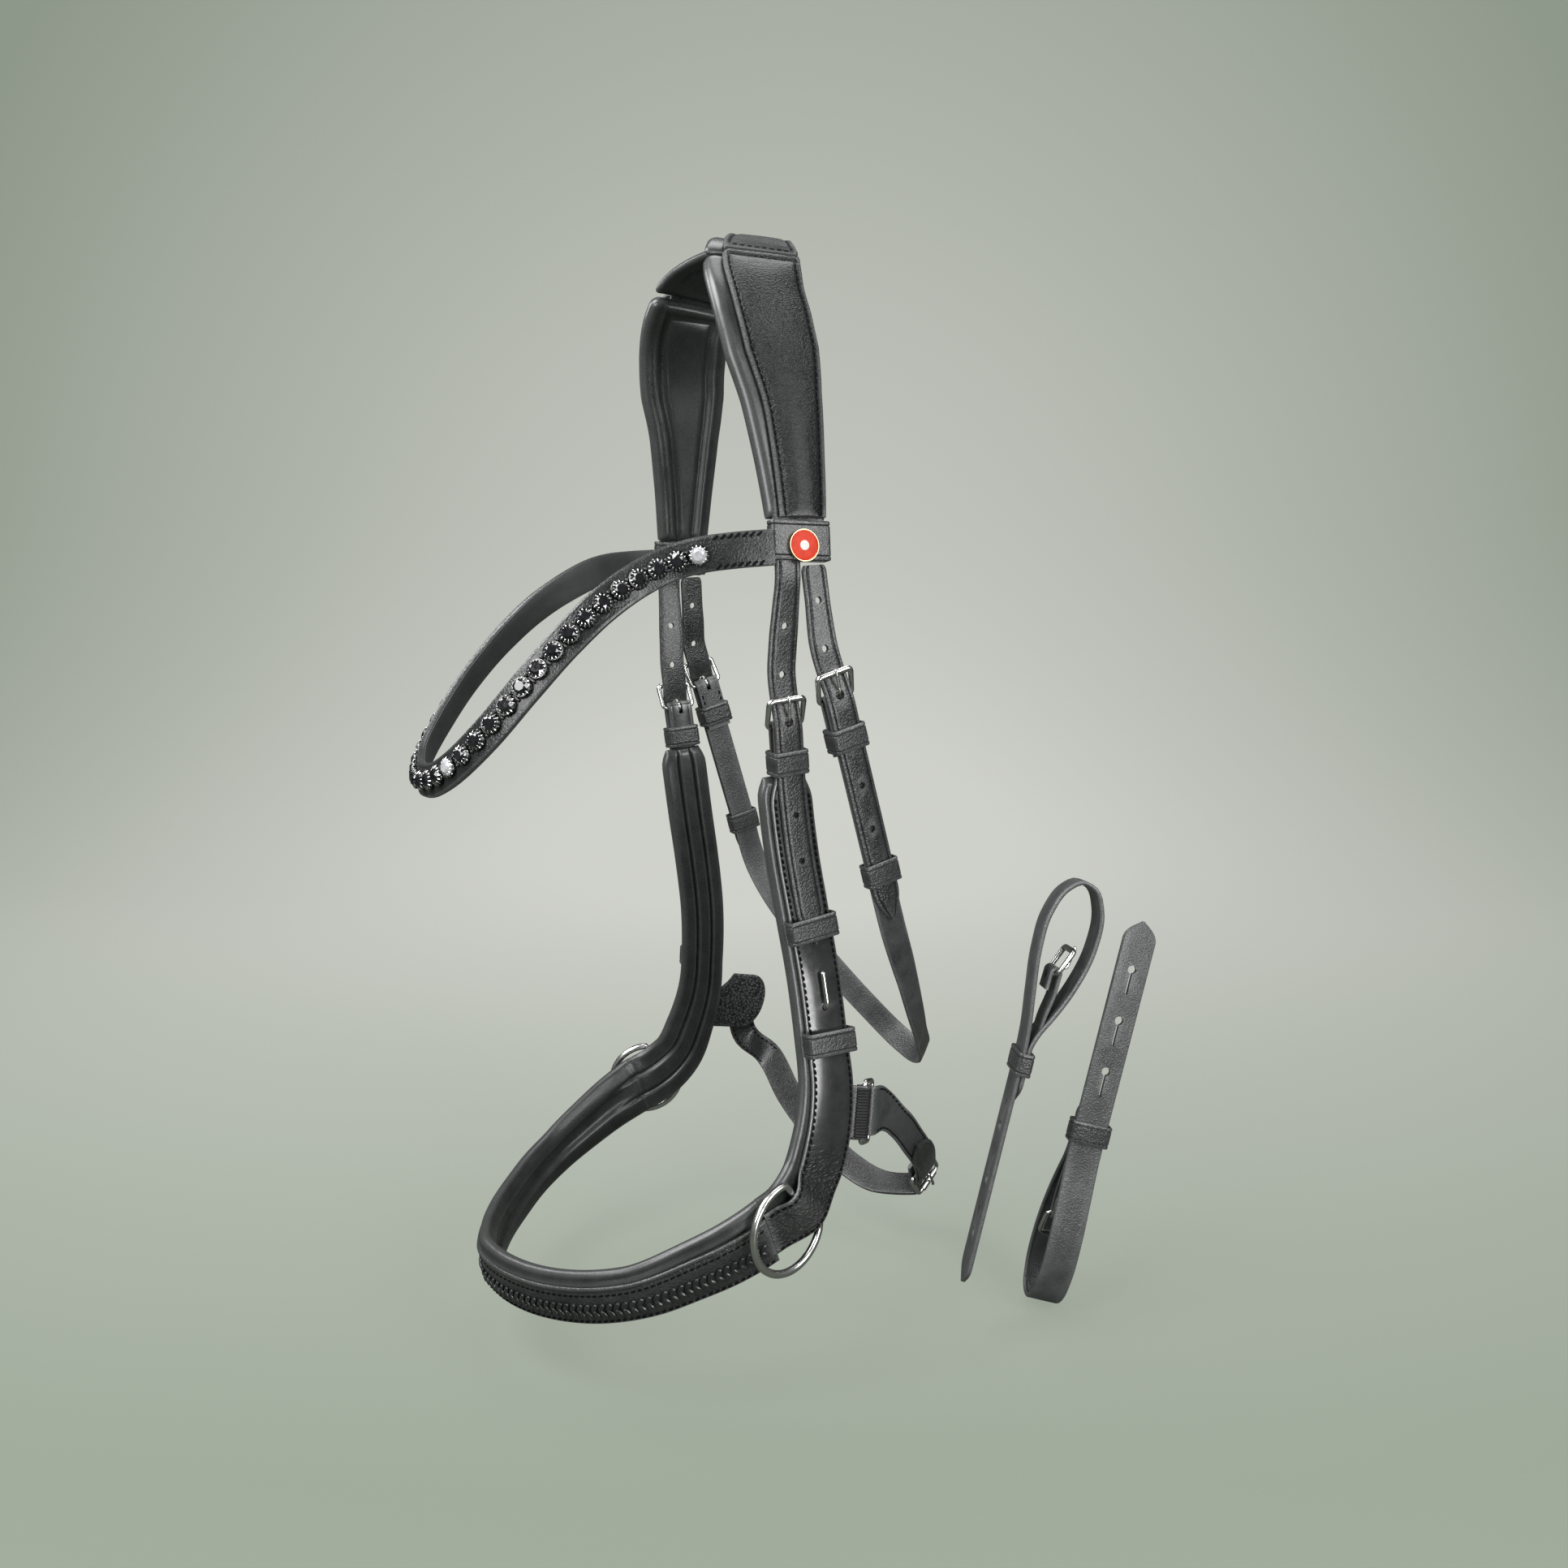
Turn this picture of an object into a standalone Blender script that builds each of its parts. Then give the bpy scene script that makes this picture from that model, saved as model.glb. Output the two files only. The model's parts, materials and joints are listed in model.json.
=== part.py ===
"""Snaffle bridle: padded crown, dipped browband, combined noseband, throatlatch and two bit straps.

Metres, +Z up, +X towards the horse's left, -Y towards its nose.
The origin is on the underside of the poll pad, where the bridle hangs on the head.
"""
import math

import bmesh
import bpy
import numpy as np
from mathutils import Matrix, Vector

# Fit between pieces
CLEARANCE = 0.0003
KEEPER_PLAY = 0.0005
FRAME_PLAY = 0.0006
TONGUE_PLAY = 0.0002

# Leather
BILLET_WIDTH = 0.016
BILLET_ROOT_WIDTH = 0.0143
BILLET_THICK = 0.0024
STRIP_THICK = 0.002
HOLE_DIAMETER = 0.0052
HOLE_PITCH = 0.025
TIP_LENGTH = 0.010
FOLD_LEG = 0.026

# Buckles, keepers and other metal
BAR_RADIUS = 0.0012
SIDE_RADIUS = 0.0014
FRONT_RADIUS = 0.0017
TONGUE_RADIUS = 0.0009
BUCKLE_REACH = 0.0145
BUCKLE_RISE = 0.0052
KEEPER_WALL = 0.0016
KEEPER_HEIGHT = 0.013
RING_RADIUS = 0.0234
RING_ASIDE = -0.002
RING_SEAT = 0.0008
RING_WIRE = 0.0021
RING_SETBACK = 0.014
RING_SWELL = 0.017
HOOK_WIRE = 0.0015
HOOK_LENGTH = 0.019
HOOK_FOOT = 0.009
HOOK_STAND = 0.0026
HOOK_PLAY = 0.0014
LINK_WIRE = 0.0014
LINK_DEPTH = 0.011
ROLLER_WALL = 0.0010
CONCHO_DIAMETER = 0.0165
CONCHO_DROP = 0.003
CONCHO_THICK = 0.0022

# Crown
CROWN_PAD_DEPTH = 0.0082
POLL_PAD_DEPTH = 0.0035
CROWN_COVER_THICK = 0.0022
CROWN_PUFF = 0.0022
POLL_PUFF = 0.0004
POLL_HALF_LENGTH = 0.047
CROWN_SEAM = 0.0014
CROWN_FOOT_WIDTH = 0.033
CROWN_HALF_WIDTHS = (
    (0.0, 0.0185), (0.030, 0.0225), (0.047, 0.0262), (0.060, 0.0270), (0.085, 0.0272), (0.108, 0.0265),
    (0.132, 0.0225), (0.165, 0.0190),
)
COVER_INSET = 0.0035
COVER_SHIFT = 0.0015
COVER_DRAW = 0.0018
DRAW_UNTIL = 0.14
LOOP_GAP = 0.002
COVER_SEAT = 0.0008
SPLIT_AT = 0.206
SPLIT_BELOW = 0.0107

# Browband
BROWBAND_WIDTH = 0.018
BROWBAND_THICK = 0.0036
LOOP_HEIGHT = 0.020
LOOP_PLAY = 0.0009
STONE_DIAMETER = 0.0102
STONE_HEIGHT = 0.0036
STONE_PITCH = 0.0112
STONES_START = 0.036
STONE_SEAT = 0.0007
STONE_SHARES = (-0.46, -0.22, 0.22, 0.46)
CHAIN_WIDTH = 0.004

# Cheeks and noseband
CHEEK_STRIP_WIDTH = 0.0245
FLARE_FROM = 0.027
FLARE_TO = 0.037
BEND_FROM = 0.18
BEND_TO = 0.24
CORNER_STRIP_WIDTH = 0.028
CHEEK_PAD_WIDTH = 0.030
CHEEK_PAD_DEPTH = 0.0075
CHEEK_PAD_SHIFT = -0.0022
CORNER_PAD_WIDTH = 0.039
NOSE_PAD_WIDTH = 0.030
NOSE_PAD_SHIFT = 0.0032
CORNER_STRAP_WIDTH = 0.030
CORNER_STRAP_SHIFT = 0.0032
NOSE_STRAP_WIDTH = 0.0235
NOSE_STRAP_SHIFT = 0.0062
NOSE_STRAP_THICK = 0.0024
NOSE_TAPER = 0.075
LACING_WIDTH = 0.008
LACING_THICK = 0.0016
LACING_SHIFT = 0.0020
LACING_INSET = 0.006
UPPER_KEEPER_AT = 0.019
LOWER_KEEPER_AT = 0.111
BILLET_TIP_AT = 0.1195
HOOK_AT = 0.155
BIT_KEEPER_AT = 0.174
BIT_KEEPER_STAND = 0.0052
CHIN_TAB_AT = 0.212
RING_AT = 0.263
STRIP_PAST_RING = 0.022

# Throatlatch
THROAT_KEEPER_AT = 0.021
THROAT_RUNNER_AT = 0.098
THROAT_TIP_AT = 0.126

# Chin strap
CHIN_WIDTH = 0.018
CHIN_TAB_HEIGHT = 0.029
CHIN_TAB_THICK = 0.0018
CHIN_POCKET_PLAY = 0.0006
CHIN_POCKET_SWING = 0.0022
CHIN_TIP_AT = 0.048
CHIN_FOLD_LEG = 0.014
CHIN_TAB_REACH = 0.0215
FAR_TAB_REACH = 0.049
FAR_TAB_HEIGHT = 0.041
TAB_TONGUE = 0.004
FAR_TAB_NECK = 0.0165
# The rounded lobe of the far tab: share of its reach, share of its half height.
FAR_TAB_LOBE = ((0.43, 1.0), (0.74, 1.0), (0.87, 0.84), (0.95, 0.6), (1.0, 0.28))
# Where the far strap is sewn on its tab: how far back from the pivot, how far below it.
FAR_STRAP_SEWN = ((0.0430, 0.0205), (0.0345, 0.005), (0.0270, -0.008))
# The near tab's turned-back leg ends this far ahead of the link's bar.
TAB_LEG_FIRST = 0.001
TAB_LEG_LAST = 0.003
LINK_LEAN = 0.65

# Bit straps
BIT_WIDTH = 0.020
BIT_LENGTH = 0.228
BIT_THICK = 0.0024
KEYHOLE_DIAMETER = 0.005
KEYHOLE_SLIT = 0.015
KEYHOLE_SLIT_WIDTH = 0.0014
KEYHOLES_AT = (0.137, 0.168, 0.199)
BIT_RUNNER_AT = 0.099
BIT_CHAPE_LEG = 0.010

# Longest chord of a strap's curve
CHORD = 0.019
CROWN_CHORD = 0.0125

# Strap routes: points chosen along each strap, left side first, metres
CROWN_ROUTE = (
    (0.000, 0.002, 0.0035), (0.020, -0.003, 0.0020), (0.0385, -0.012, -0.0072), (0.0508, -0.016, -0.0240),
    (0.0615, -0.015, -0.046), (0.0705, -0.011, -0.080), (0.078, -0.009, -0.115), (0.084, -0.008, -0.150),
    (0.0865, -0.008, -0.176),
)
BROWBAND_ROUTE = (
    (0.0888, -0.0242, -0.1632), (0.084, -0.043, -0.165), (0.077, -0.057, -0.167), (0.070, -0.071, -0.171),
    (0.067, -0.087, -0.179), (0.068, -0.105, -0.191), (0.069, -0.124, -0.208), (0.067, -0.145, -0.231),
    (0.058, -0.163, -0.254), (0.040, -0.177, -0.272), (0.018, -0.183, -0.280), (0.000, -0.185, -0.281),
)
BAND_ROUTE = (
    (0.078, -0.013, -0.254), (0.076, -0.010, -0.283), (0.076, -0.005, -0.323), (0.078, 0.000, -0.354),
    (0.082, 0.005, -0.390), (0.088, 0.007, -0.425), (0.094, 0.007, -0.450), (0.099, 0.002, -0.475),
    (0.102, -0.007, -0.497), (0.105, -0.022, -0.511), (0.106, -0.038, -0.518), (0.104, -0.057, -0.525),
    (0.098, -0.077, -0.532), (0.090, -0.097, -0.539), (0.077, -0.116, -0.545), (0.059, -0.133, -0.550),
    (0.036, -0.149, -0.553), (0.015, -0.158, -0.554), (0.000, -0.161, -0.554),
)
CHEEK_BILLET_ROUTE = ((0.0845, -0.0154, -0.193), (0.0817, -0.0158, -0.214))
THROAT_PIVOT = (0.0867, 0.0002, -0.1785)
THROAT_BILLET_ROUTE = ((0.0879, 0.0011, -0.189), (0.0891, 0.0020, -0.200))
THROAT_ROUTE = (
    (0.090, 0.011, -0.240), (0.089, 0.0235, -0.283), (0.088, 0.036, -0.326), (0.087, 0.0475, -0.3655),
    (0.078, 0.061, -0.394), (0.058, 0.080, -0.424), (0.034, 0.101, -0.455), (0.013, 0.116, -0.475),
    (0.000, 0.119, -0.479),
)
CHIN_NEAR_ROUTE = (
    (0.034, 0.105, -0.544), (0.046, 0.096, -0.528), (0.060, 0.0795, -0.508), (0.074, 0.0605, -0.487),
)
CHIN_FAR_ROUTE = (
    (-0.002, 0.094, -0.567), (-0.022, 0.084, -0.562), (-0.045, 0.073, -0.548), (-0.067, 0.0615, -0.526),
    (-0.0835, 0.0535, -0.502),
)
JAW_CENTRE = (0.0, 0.025, -0.455)
BIT_LOOP_ROUTE = (
    (0.107, 0.0), (0.092, 0.0), (0.080, 0.0006), (0.060, 0.003), (0.036, 0.0055), (0.014, 0.0045),
    (-0.0015, -0.002), (-0.0065, -0.0085), (-0.0045, -0.0165), (0.006, -0.0225), (0.028, -0.024),
    (0.052, -0.0185), (0.072, -0.0100), (0.081, -0.0054),
)
BIT_CHAPE_ROUTE = ((0.046, -0.0068), (0.059, -0.0062), (0.071, -0.0042), (0.080, -0.0036))

# Where the two loose bit straps hang beside the bridle: end of the loop and end of the tail
BIT_LEFT_ENDS = ((0.120, 0.139, -0.348), (0.120, 0.080, -0.562))
BIT_RIGHT_ENDS = ((0.118, 0.141, -0.594), (0.120, 0.201, -0.374))
BIT_LEFT_FACE = (-0.437, -0.900, 0.0)
BIT_RIGHT_FACE = (0.891, -0.433, 0.0)

# Levels above the axis of a buckle's bar, shared by every strap that is buckled
CROWN_END = SPLIT_AT - LOOP_HEIGHT / 2 - LOOP_GAP
FOLD_MID = BAR_RADIUS + CLEARANCE + STRIP_THICK / 2
STRIP_IN = FOLD_MID - STRIP_THICK / 2
STRIP_OUT = FOLD_MID + STRIP_THICK / 2
PAD_FACE = STRIP_IN - CLEARANCE
EYE_RADIUS = BAR_RADIUS + TONGUE_PLAY + TONGUE_RADIUS
BILLET_IN = max(STRIP_OUT, EYE_RADIUS + TONGUE_RADIUS) + CLEARANCE
BILLET_MID = BILLET_IN + BILLET_THICK / 2
BILLET_OUT = BILLET_IN + BILLET_THICK
CROWN_FACE = BILLET_THICK / 2 + COVER_SEAT


def clear_scene():
    for obj in list(bpy.data.objects):
        bpy.data.objects.remove(obj, do_unlink=True)


def collection(name):
    group = bpy.data.collections.new(name)
    bpy.context.scene.collection.children.link(group)
    return group


def material(name, colour, roughness, metallic):
    mat = bpy.data.materials.new(name)
    mat.use_nodes = True
    shader = mat.node_tree.nodes["Principled BSDF"]
    shader.inputs["Base Color"].default_value = (*colour, 1.0)
    shader.inputs["Roughness"].default_value = roughness
    shader.inputs["Metallic"].default_value = metallic
    return mat


clear_scene()
PARTS = collection("snaffle_bridle")
CUTTERS = collection("cutters")
LEATHER = material("black_leather", (0.018, 0.019, 0.019), 0.55, 0.0)
SOFT_LEATHER = material("soft_padding", (0.028, 0.030, 0.029), 0.65, 0.0)
STEEL = material("nickel_steel", (0.62, 0.62, 0.60), 0.25, 1.0)
STONE = material("dark_stone", (0.03, 0.03, 0.035), 0.08, 0.2)
ENAMEL = material("red_enamel", (0.45, 0.03, 0.03), 0.2, 0.0)


class Route:
    """A line through chosen points, smoothed and cut into short chords, with an outward direction at each."""

    def __init__(self, points, outward, step=CHORD):
        knots = np.array([tuple(point) for point in points], dtype=float)
        chord = np.concatenate([[0.0], np.cumsum(np.linalg.norm(np.diff(knots, axis=0), axis=1))])
        slopes = np.gradient(knots, chord, axis=0)
        places = []
        for i in range(len(knots) - 1):
            span = chord[i + 1] - chord[i]
            for u in np.linspace(0.0, 1.0, math.ceil(span / step - 0.01), endpoint=False):
                start = (2 * u**3 - 3 * u**2 + 1) * knots[i] + (u**3 - 2 * u**2 + u) * span * slopes[i]
                end = (3 * u**2 - 2 * u**3) * knots[i + 1] + (u**3 - u**2) * span * slopes[i + 1]
                places.append(start + end)
        places.append(knots[-1])
        self.places = np.array(places)
        chords = np.diff(self.places, axis=0)
        lengths = np.linalg.norm(chords, axis=1)
        self.marks = np.concatenate([[0.0], np.cumsum(lengths)])
        self.length = float(self.marks[-1])
        headings = chords / lengths[:, None]
        self.tangents = np.vstack([headings[:1], headings[:-1] + headings[1:], headings[-1:]])
        self.tangents /= np.linalg.norm(self.tangents, axis=1)[:, None]
        hints = np.array([tuple(outward(Vector(place))) for place in self.places])
        hints -= self.tangents * np.sum(hints * self.tangents, axis=1)[:, None]
        self.normals = hints / np.linalg.norm(hints, axis=1)[:, None]

    def between(self, rows, s):
        return Vector([np.interp(s, self.marks, rows[:, k]) for k in range(3)])

    def point(self, s):
        inside = min(max(s, 0.0), self.length)
        return self.between(self.places, inside) + self.between(self.tangents, inside) * (s - inside)

    def axes(self, s):
        """Tangent, across and outward normal at a place."""
        along = self.between(self.tangents, s).normalized()
        normal = self.between(self.normals, s)
        normal = (normal - along * normal.dot(along)).normalized()
        return along, normal.cross(along), normal

    def run(self, start, end, extra=()):
        """The places of a piece that lies on the route: its ends and every chord's end between them."""
        inner = [m for m in (*self.marks, *extra) if start + 0.0015 < m < end - 0.0015]
        places = [start]
        for m in sorted(inner):
            if m - places[-1] > 0.001:
                places.append(float(m))
        return places + [end]

    def place(self, s, n=0.0, a=0.0):
        across, normal = self.axes(s)[1:]
        return self.point(s) + across * a + normal * n

    def matrix(self, s, n=0.0, a=0.0):
        """Local X across, Y outward, Z along the strap."""
        along, across, normal = self.axes(s)
        return frame_matrix(self.place(s, n, a), across, normal, along)

    def stations(self, places, n, half_width, shift=None):
        """Stations of a strap: n, half_width and shift are numbers or functions of the place."""
        result = []
        for s in places:
            across, normal = self.axes(s)[1:]
            offset = value(n, s)
            aside = value(shift, s) if shift is not None else 0.0
            result.append((self.point(s) + normal * offset + across * aside, across, value(half_width, s)))
        return result


def value(thing, s):
    return thing(s) if callable(thing) else thing


def table(*pairs):
    """A function that runs straight between (place, value) pairs."""
    places = [pair[0] for pair in pairs]
    values = [pair[1] for pair in pairs]
    return lambda s: float(np.interp(s, places, values))


def bump(centre, reach, height):
    """A smooth swelling along a strap."""
    def rise(s):
        u = min(abs(s - centre) / reach, 1.0)
        return height * 0.5 * (1 + math.cos(math.pi * u))
    return rise


def frame_matrix(origin, x, y, z):
    rows = [[x[i], y[i], z[i], origin[i]] for i in range(3)]
    return Matrix(rows + [[0.0, 0.0, 0.0, 1.0]])


def both_sides(points):
    """The whole route from left to right, from its left half that ends on the middle plane."""
    return list(points) + [(-x, y, z) for x, y, z in reversed(points[:-1])]


def mirror_station(station):
    centre, across, half = station
    return Vector((-centre.x, centre.y, centre.z)), Vector((-across.x, across.y, across.z)), half


def add(obj, mat):
    PARTS.objects.link(obj)
    if mat is not None:
        obj.data.materials.append(mat)
    return obj


def set_origin(obj, origin):
    """Puts the object's origin on its joint axis and leaves its shape where it is."""
    shift = Vector(origin) - obj.location
    obj.data.transform(Matrix.Translation(-shift))
    obj.location = Vector(origin)
    bpy.context.view_layer.update()
    return obj


def strip_mesh(name, stations, columns):
    """An open strip through the stations: a grid laid along them."""
    bm = bmesh.new()
    last = len(stations) - 1
    bmesh.ops.create_grid(bm, x_segments=last, y_segments=columns, size=1.0)
    for vert in bm.verts:
        centre, across, half = stations[round((vert.co.x + 1) / 2 * last)]
        vert.co = centre + across * half * vert.co.y
    mesh = bpy.data.meshes.new(name)
    bm.to_mesh(mesh)
    bm.free()
    return mesh


def strap(name, stations, thickness, mat=LEATHER, columns=1):
    """A flat strap, thickened evenly to both sides of its stations."""
    obj = add(bpy.data.objects.new(name, strip_mesh(name, stations, columns)), mat)
    solid = obj.modifiers.new("Leather", "SOLIDIFY")
    solid.thickness = thickness
    solid.offset = 0.0
    solid.use_even_offset = True
    return obj


def cushion(name, stations, depth, profile, side, mat=SOFT_LEATHER, columns=6, edge=0.55):
    """A padded strip: flat on one side, crowned on the other, drawn in towards its ends.

    profile(y) gives the share of the depth at y from -1 to 1 across, side is -1 inward or 1 outward.
    """
    obj = add(bpy.data.objects.new(name, strip_mesh(name, stations, columns)), mat)
    fill = obj.vertex_groups.new(name="fill")
    last = len(stations) - 1
    flat = [(Vector((i, 0, 0)), Vector((0, 1, 0)), 1.0) for i in range(last + 1)]
    reference = strip_mesh("reference", flat, columns)
    for vert in reference.vertices:
        end = edge if round(vert.co.x) in (0, last) else 1.0
        fill.add([vert.index], min(end, profile(vert.co.y)), "REPLACE")
    bpy.data.meshes.remove(reference)
    solid = obj.modifiers.new("Padding", "SOLIDIFY")
    solid.thickness = depth
    solid.offset = side
    solid.use_even_offset = True
    solid.vertex_group = "fill"
    return obj


def crown_profile(y):
    return 1.0 - 0.45 * abs(y) ** 3


def channel_profile(y):
    """Two rolls with a channel between them."""
    return 1.0 - 0.4 * abs(y) ** 4 - 0.35 * math.exp(-(y / 0.22) ** 2)


def evaluated_mesh(obj):
    bpy.context.view_layer.update()
    graph = bpy.context.evaluated_depsgraph_get()
    return bpy.data.meshes.new_from_object(obj.evaluated_get(graph))


def to_mesh(obj, mat):
    """Turns a curve into a closed mesh object of the same name and place."""
    mesh = evaluated_mesh(obj)
    bm = bmesh.new()
    bm.from_mesh(mesh)
    bmesh.ops.remove_doubles(bm, verts=bm.verts, dist=0.00001)
    bmesh.ops.recalc_face_normals(bm, faces=bm.faces)
    bm.to_mesh(mesh)
    bm.free()
    place = obj.matrix_world.copy()
    name = obj.name
    bpy.data.objects.remove(obj, do_unlink=True)
    mesh.transform(place)
    mesh.materials.clear()
    mesh.name = name
    return add(bpy.data.objects.new(name, mesh), mat)


def wire(name, points, radius, mat=STEEL, cyclic=False, sides=2):
    """A round wire through the points; radius is one value or one for each point."""
    curve = bpy.data.curves.new(name, "CURVE")
    curve.dimensions = "3D"
    curve.bevel_depth = 1.0
    curve.bevel_resolution = sides
    curve.use_fill_caps = True
    spline = curve.splines.new("POLY")
    spline.points.add(len(points) - 1)
    radii = radius if isinstance(radius, (list, tuple)) else [radius] * len(points)
    for item, place, size in zip(spline.points, points, radii):
        item.co = (*place, 1.0)
        item.radius = size
    spline.use_cyclic_u = cyclic
    obj = bpy.data.objects.new(name, curve)
    bpy.context.scene.collection.objects.link(obj)
    return to_mesh(obj, mat)


def rounded_box(width, height, radius, steps=3):
    """Outline of a rectangle with round corners, counter-clockwise."""
    corners = ((1, 1, 0), (-1, 1, 90), (-1, -1, 180), (1, -1, 270))
    points = []
    for sx, sy, start in corners:
        for k in range(steps + 1):
            turn = math.radians(start + 90 * k / steps)
            x = sx * (width / 2 - radius) + radius * math.cos(turn)
            y = sy * (height / 2 - radius) + radius * math.sin(turn)
            points.append((x, y))
    return points


def rectangle(width, height):
    x, y = width / 2, height / 2
    return [(x, y), (-x, y), (-x, -y), (x, -y)]


def circle(radius, count=16):
    turns = [math.tau * k / count for k in range(count)]
    return [(radius * math.cos(turn), radius * math.sin(turn)) for turn in turns]


def plate(name, outlines, thickness, matrix, mat):
    """A flat outline with its holes, as thick as given along the local Z axis."""
    curve = bpy.data.curves.new(name, "CURVE")
    curve.dimensions = "2D"
    curve.fill_mode = "BOTH"
    curve.extrude = thickness / 2
    for outline in outlines:
        spline = curve.splines.new("POLY")
        spline.points.add(len(outline) - 1)
        for item, place in zip(spline.points, outline):
            item.co = (*place, 0.0, 1.0)
        spline.use_cyclic_u = True
    obj = bpy.data.objects.new(name, curve)
    bpy.context.scene.collection.objects.link(obj)
    obj.matrix_world = matrix
    return to_mesh(obj, mat)


def keeper(name, route, s, half_width, low, high, height=KEEPER_HEIGHT, shift=0.0):
    """A leather loop round a strap: inside from low to high above the route."""
    inner_width = 2 * (half_width + KEEPER_PLAY)
    inner_height = high - low
    inner = rectangle(inner_width, inner_height)
    outer = rounded_box(inner_width + 2 * KEEPER_WALL, inner_height + 2 * KEEPER_WALL, KEEPER_WALL * 1.3, 1)
    return plate(name, (outer, inner), height, route.matrix(s, (low + high) / 2, shift), LEATHER)


def cutter(name, shapes):
    """One hidden object that holds every cutting shape given as (bmesh maker, matrix)."""
    bm = bmesh.new()
    for make, matrix in shapes:
        make(bm, matrix)
    mesh = bpy.data.meshes.new(name)
    bm.to_mesh(mesh)
    bm.free()
    obj = bpy.data.objects.new(name, mesh)
    obj.hide_render = True
    obj.display_type = "WIRE"
    CUTTERS.objects.link(obj)
    return obj


def cylinder_shape(radius, depth, count=8):
    def make(bm, matrix):
        bmesh.ops.create_cone(bm, cap_ends=True, segments=count, radius1=radius, radius2=radius,
                              depth=depth, matrix=matrix)
    return make


def box_shape(x, y, z):
    def make(bm, matrix):
        bmesh.ops.create_cube(bm, size=1.0, matrix=matrix @ Matrix.Diagonal((x, y, z, 1.0)))
    return make


def boolean(obj, other, operation):
    step = obj.modifiers.new("Cut" if operation == "DIFFERENCE" else "Join", "BOOLEAN")
    step.operation = operation
    step.solver = "EXACT"
    step.object = other


def bake(obj):
    """Applies the modifiers, so that the piece can be joined to, or mirrored."""
    mesh = evaluated_mesh(obj)
    bm = bmesh.new()
    bm.from_mesh(mesh)
    bmesh.ops.remove_doubles(bm, verts=bm.verts, dist=0.000002)
    bm.to_mesh(mesh)
    bm.free()
    obj.modifiers.clear()
    obj.data = mesh
    return obj


def join(obj, others):
    """Makes one body of an object and the pieces that are sewn or soldered to it."""
    for other in others:
        boolean(bake(obj), other, "UNION")
        bake(obj)
        bpy.data.objects.remove(other, do_unlink=True)
    return obj


def mirrored(obj):
    """The right-hand piece: the left one reflected in the middle plane."""
    mesh = evaluated_mesh(obj)
    bm = bmesh.new()
    bm.from_mesh(mesh)
    for vert in bm.verts:
        vert.co.x = -vert.co.x
    bmesh.ops.reverse_faces(bm, faces=bm.faces)
    bm.to_mesh(mesh)
    bm.free()
    name = obj.name.replace("_left", "_right")
    copy = bpy.data.objects.new(name, mesh)
    copy.location = (-obj.location.x, obj.location.y, obj.location.z)
    PARTS.objects.link(copy)
    return copy


def hole_marks(route, places, n, radius=HOLE_DIAMETER / 2):
    turn = Matrix.Rotation(math.radians(90), 4, "X")
    return [(cylinder_shape(radius, 0.012), route.matrix(s, n) @ turn) for s in places]


# Routes of the straps, each with the way its outer face looks
def band_outward(place):
    upward = -0.028 * min(1.0, max(0.0, -place.z - 0.45) * 10)
    return place.x, min(0.0, place.y + 0.040), upward


def brow_outward(place):
    return place.x, min(0.0, place.y + 0.060), 0.0


def crown_outward(place):
    return place.x, 0.0, place.z + 0.090


def throat_outward(place):
    rearward = (place.y - 0.020) * min(1.0, max(0.0, -place.z - 0.37) * 12)
    return place.x, rearward, -0.9 * max(0.0, -place.z - 0.40)


BAND = Route(both_sides(BAND_ROUTE), band_outward)
BROW = Route(both_sides(BROWBAND_ROUTE), brow_outward)
CROWN = Route(both_sides(CROWN_ROUTE[::-1])[::-1], crown_outward, CROWN_CHORD)
THROAT = Route(both_sides(THROAT_ROUTE), throat_outward)
MIDDLE = CROWN.length / 2
BROW_MIDDLE = BROW.length / 2


def tip(s, half):
    """Places and half widths of a pointed strap end at s."""
    steps = ((-1.0, 1.0), (-0.55, 0.82), (-0.2, 0.48), (0.0, 0.12))
    return [(s + share * TIP_LENGTH, half * width) for share, width in steps]


def fold_stations(route, half, leg):
    """The end of a strap folded back round the buckle bar, from the hidden leg to the outside."""
    along, across, normal = route.axes(0.0)
    bar = route.point(0.0)
    turns = 6
    reach = FOLD_MID / math.cos(math.pi / turns / 2)
    stations = [(bar + along * t - normal * FOLD_MID, across, half) for t in (leg, leg / 2, 0.0)]
    for k in range(turns):
        angle = -math.pi / 2 - math.pi * (k + 0.5) / turns
        spoke = along * math.cos(angle) + normal * math.sin(angle)
        stations.append((bar + spoke * reach, across, half))
    stations.append((bar + normal * FOLD_MID, across, half))
    return stations


def chape_slot(route):
    """Clears the middle of a folded end for the tongue."""
    reach = EYE_RADIUS + TONGUE_RADIUS + 0.001
    width = 2 * TONGUE_RADIUS + 0.0012
    depth = 2 * (STRIP_OUT + 0.001)
    return [(box_shape(width, depth, 2 * reach), route.matrix(0.0))]


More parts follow.
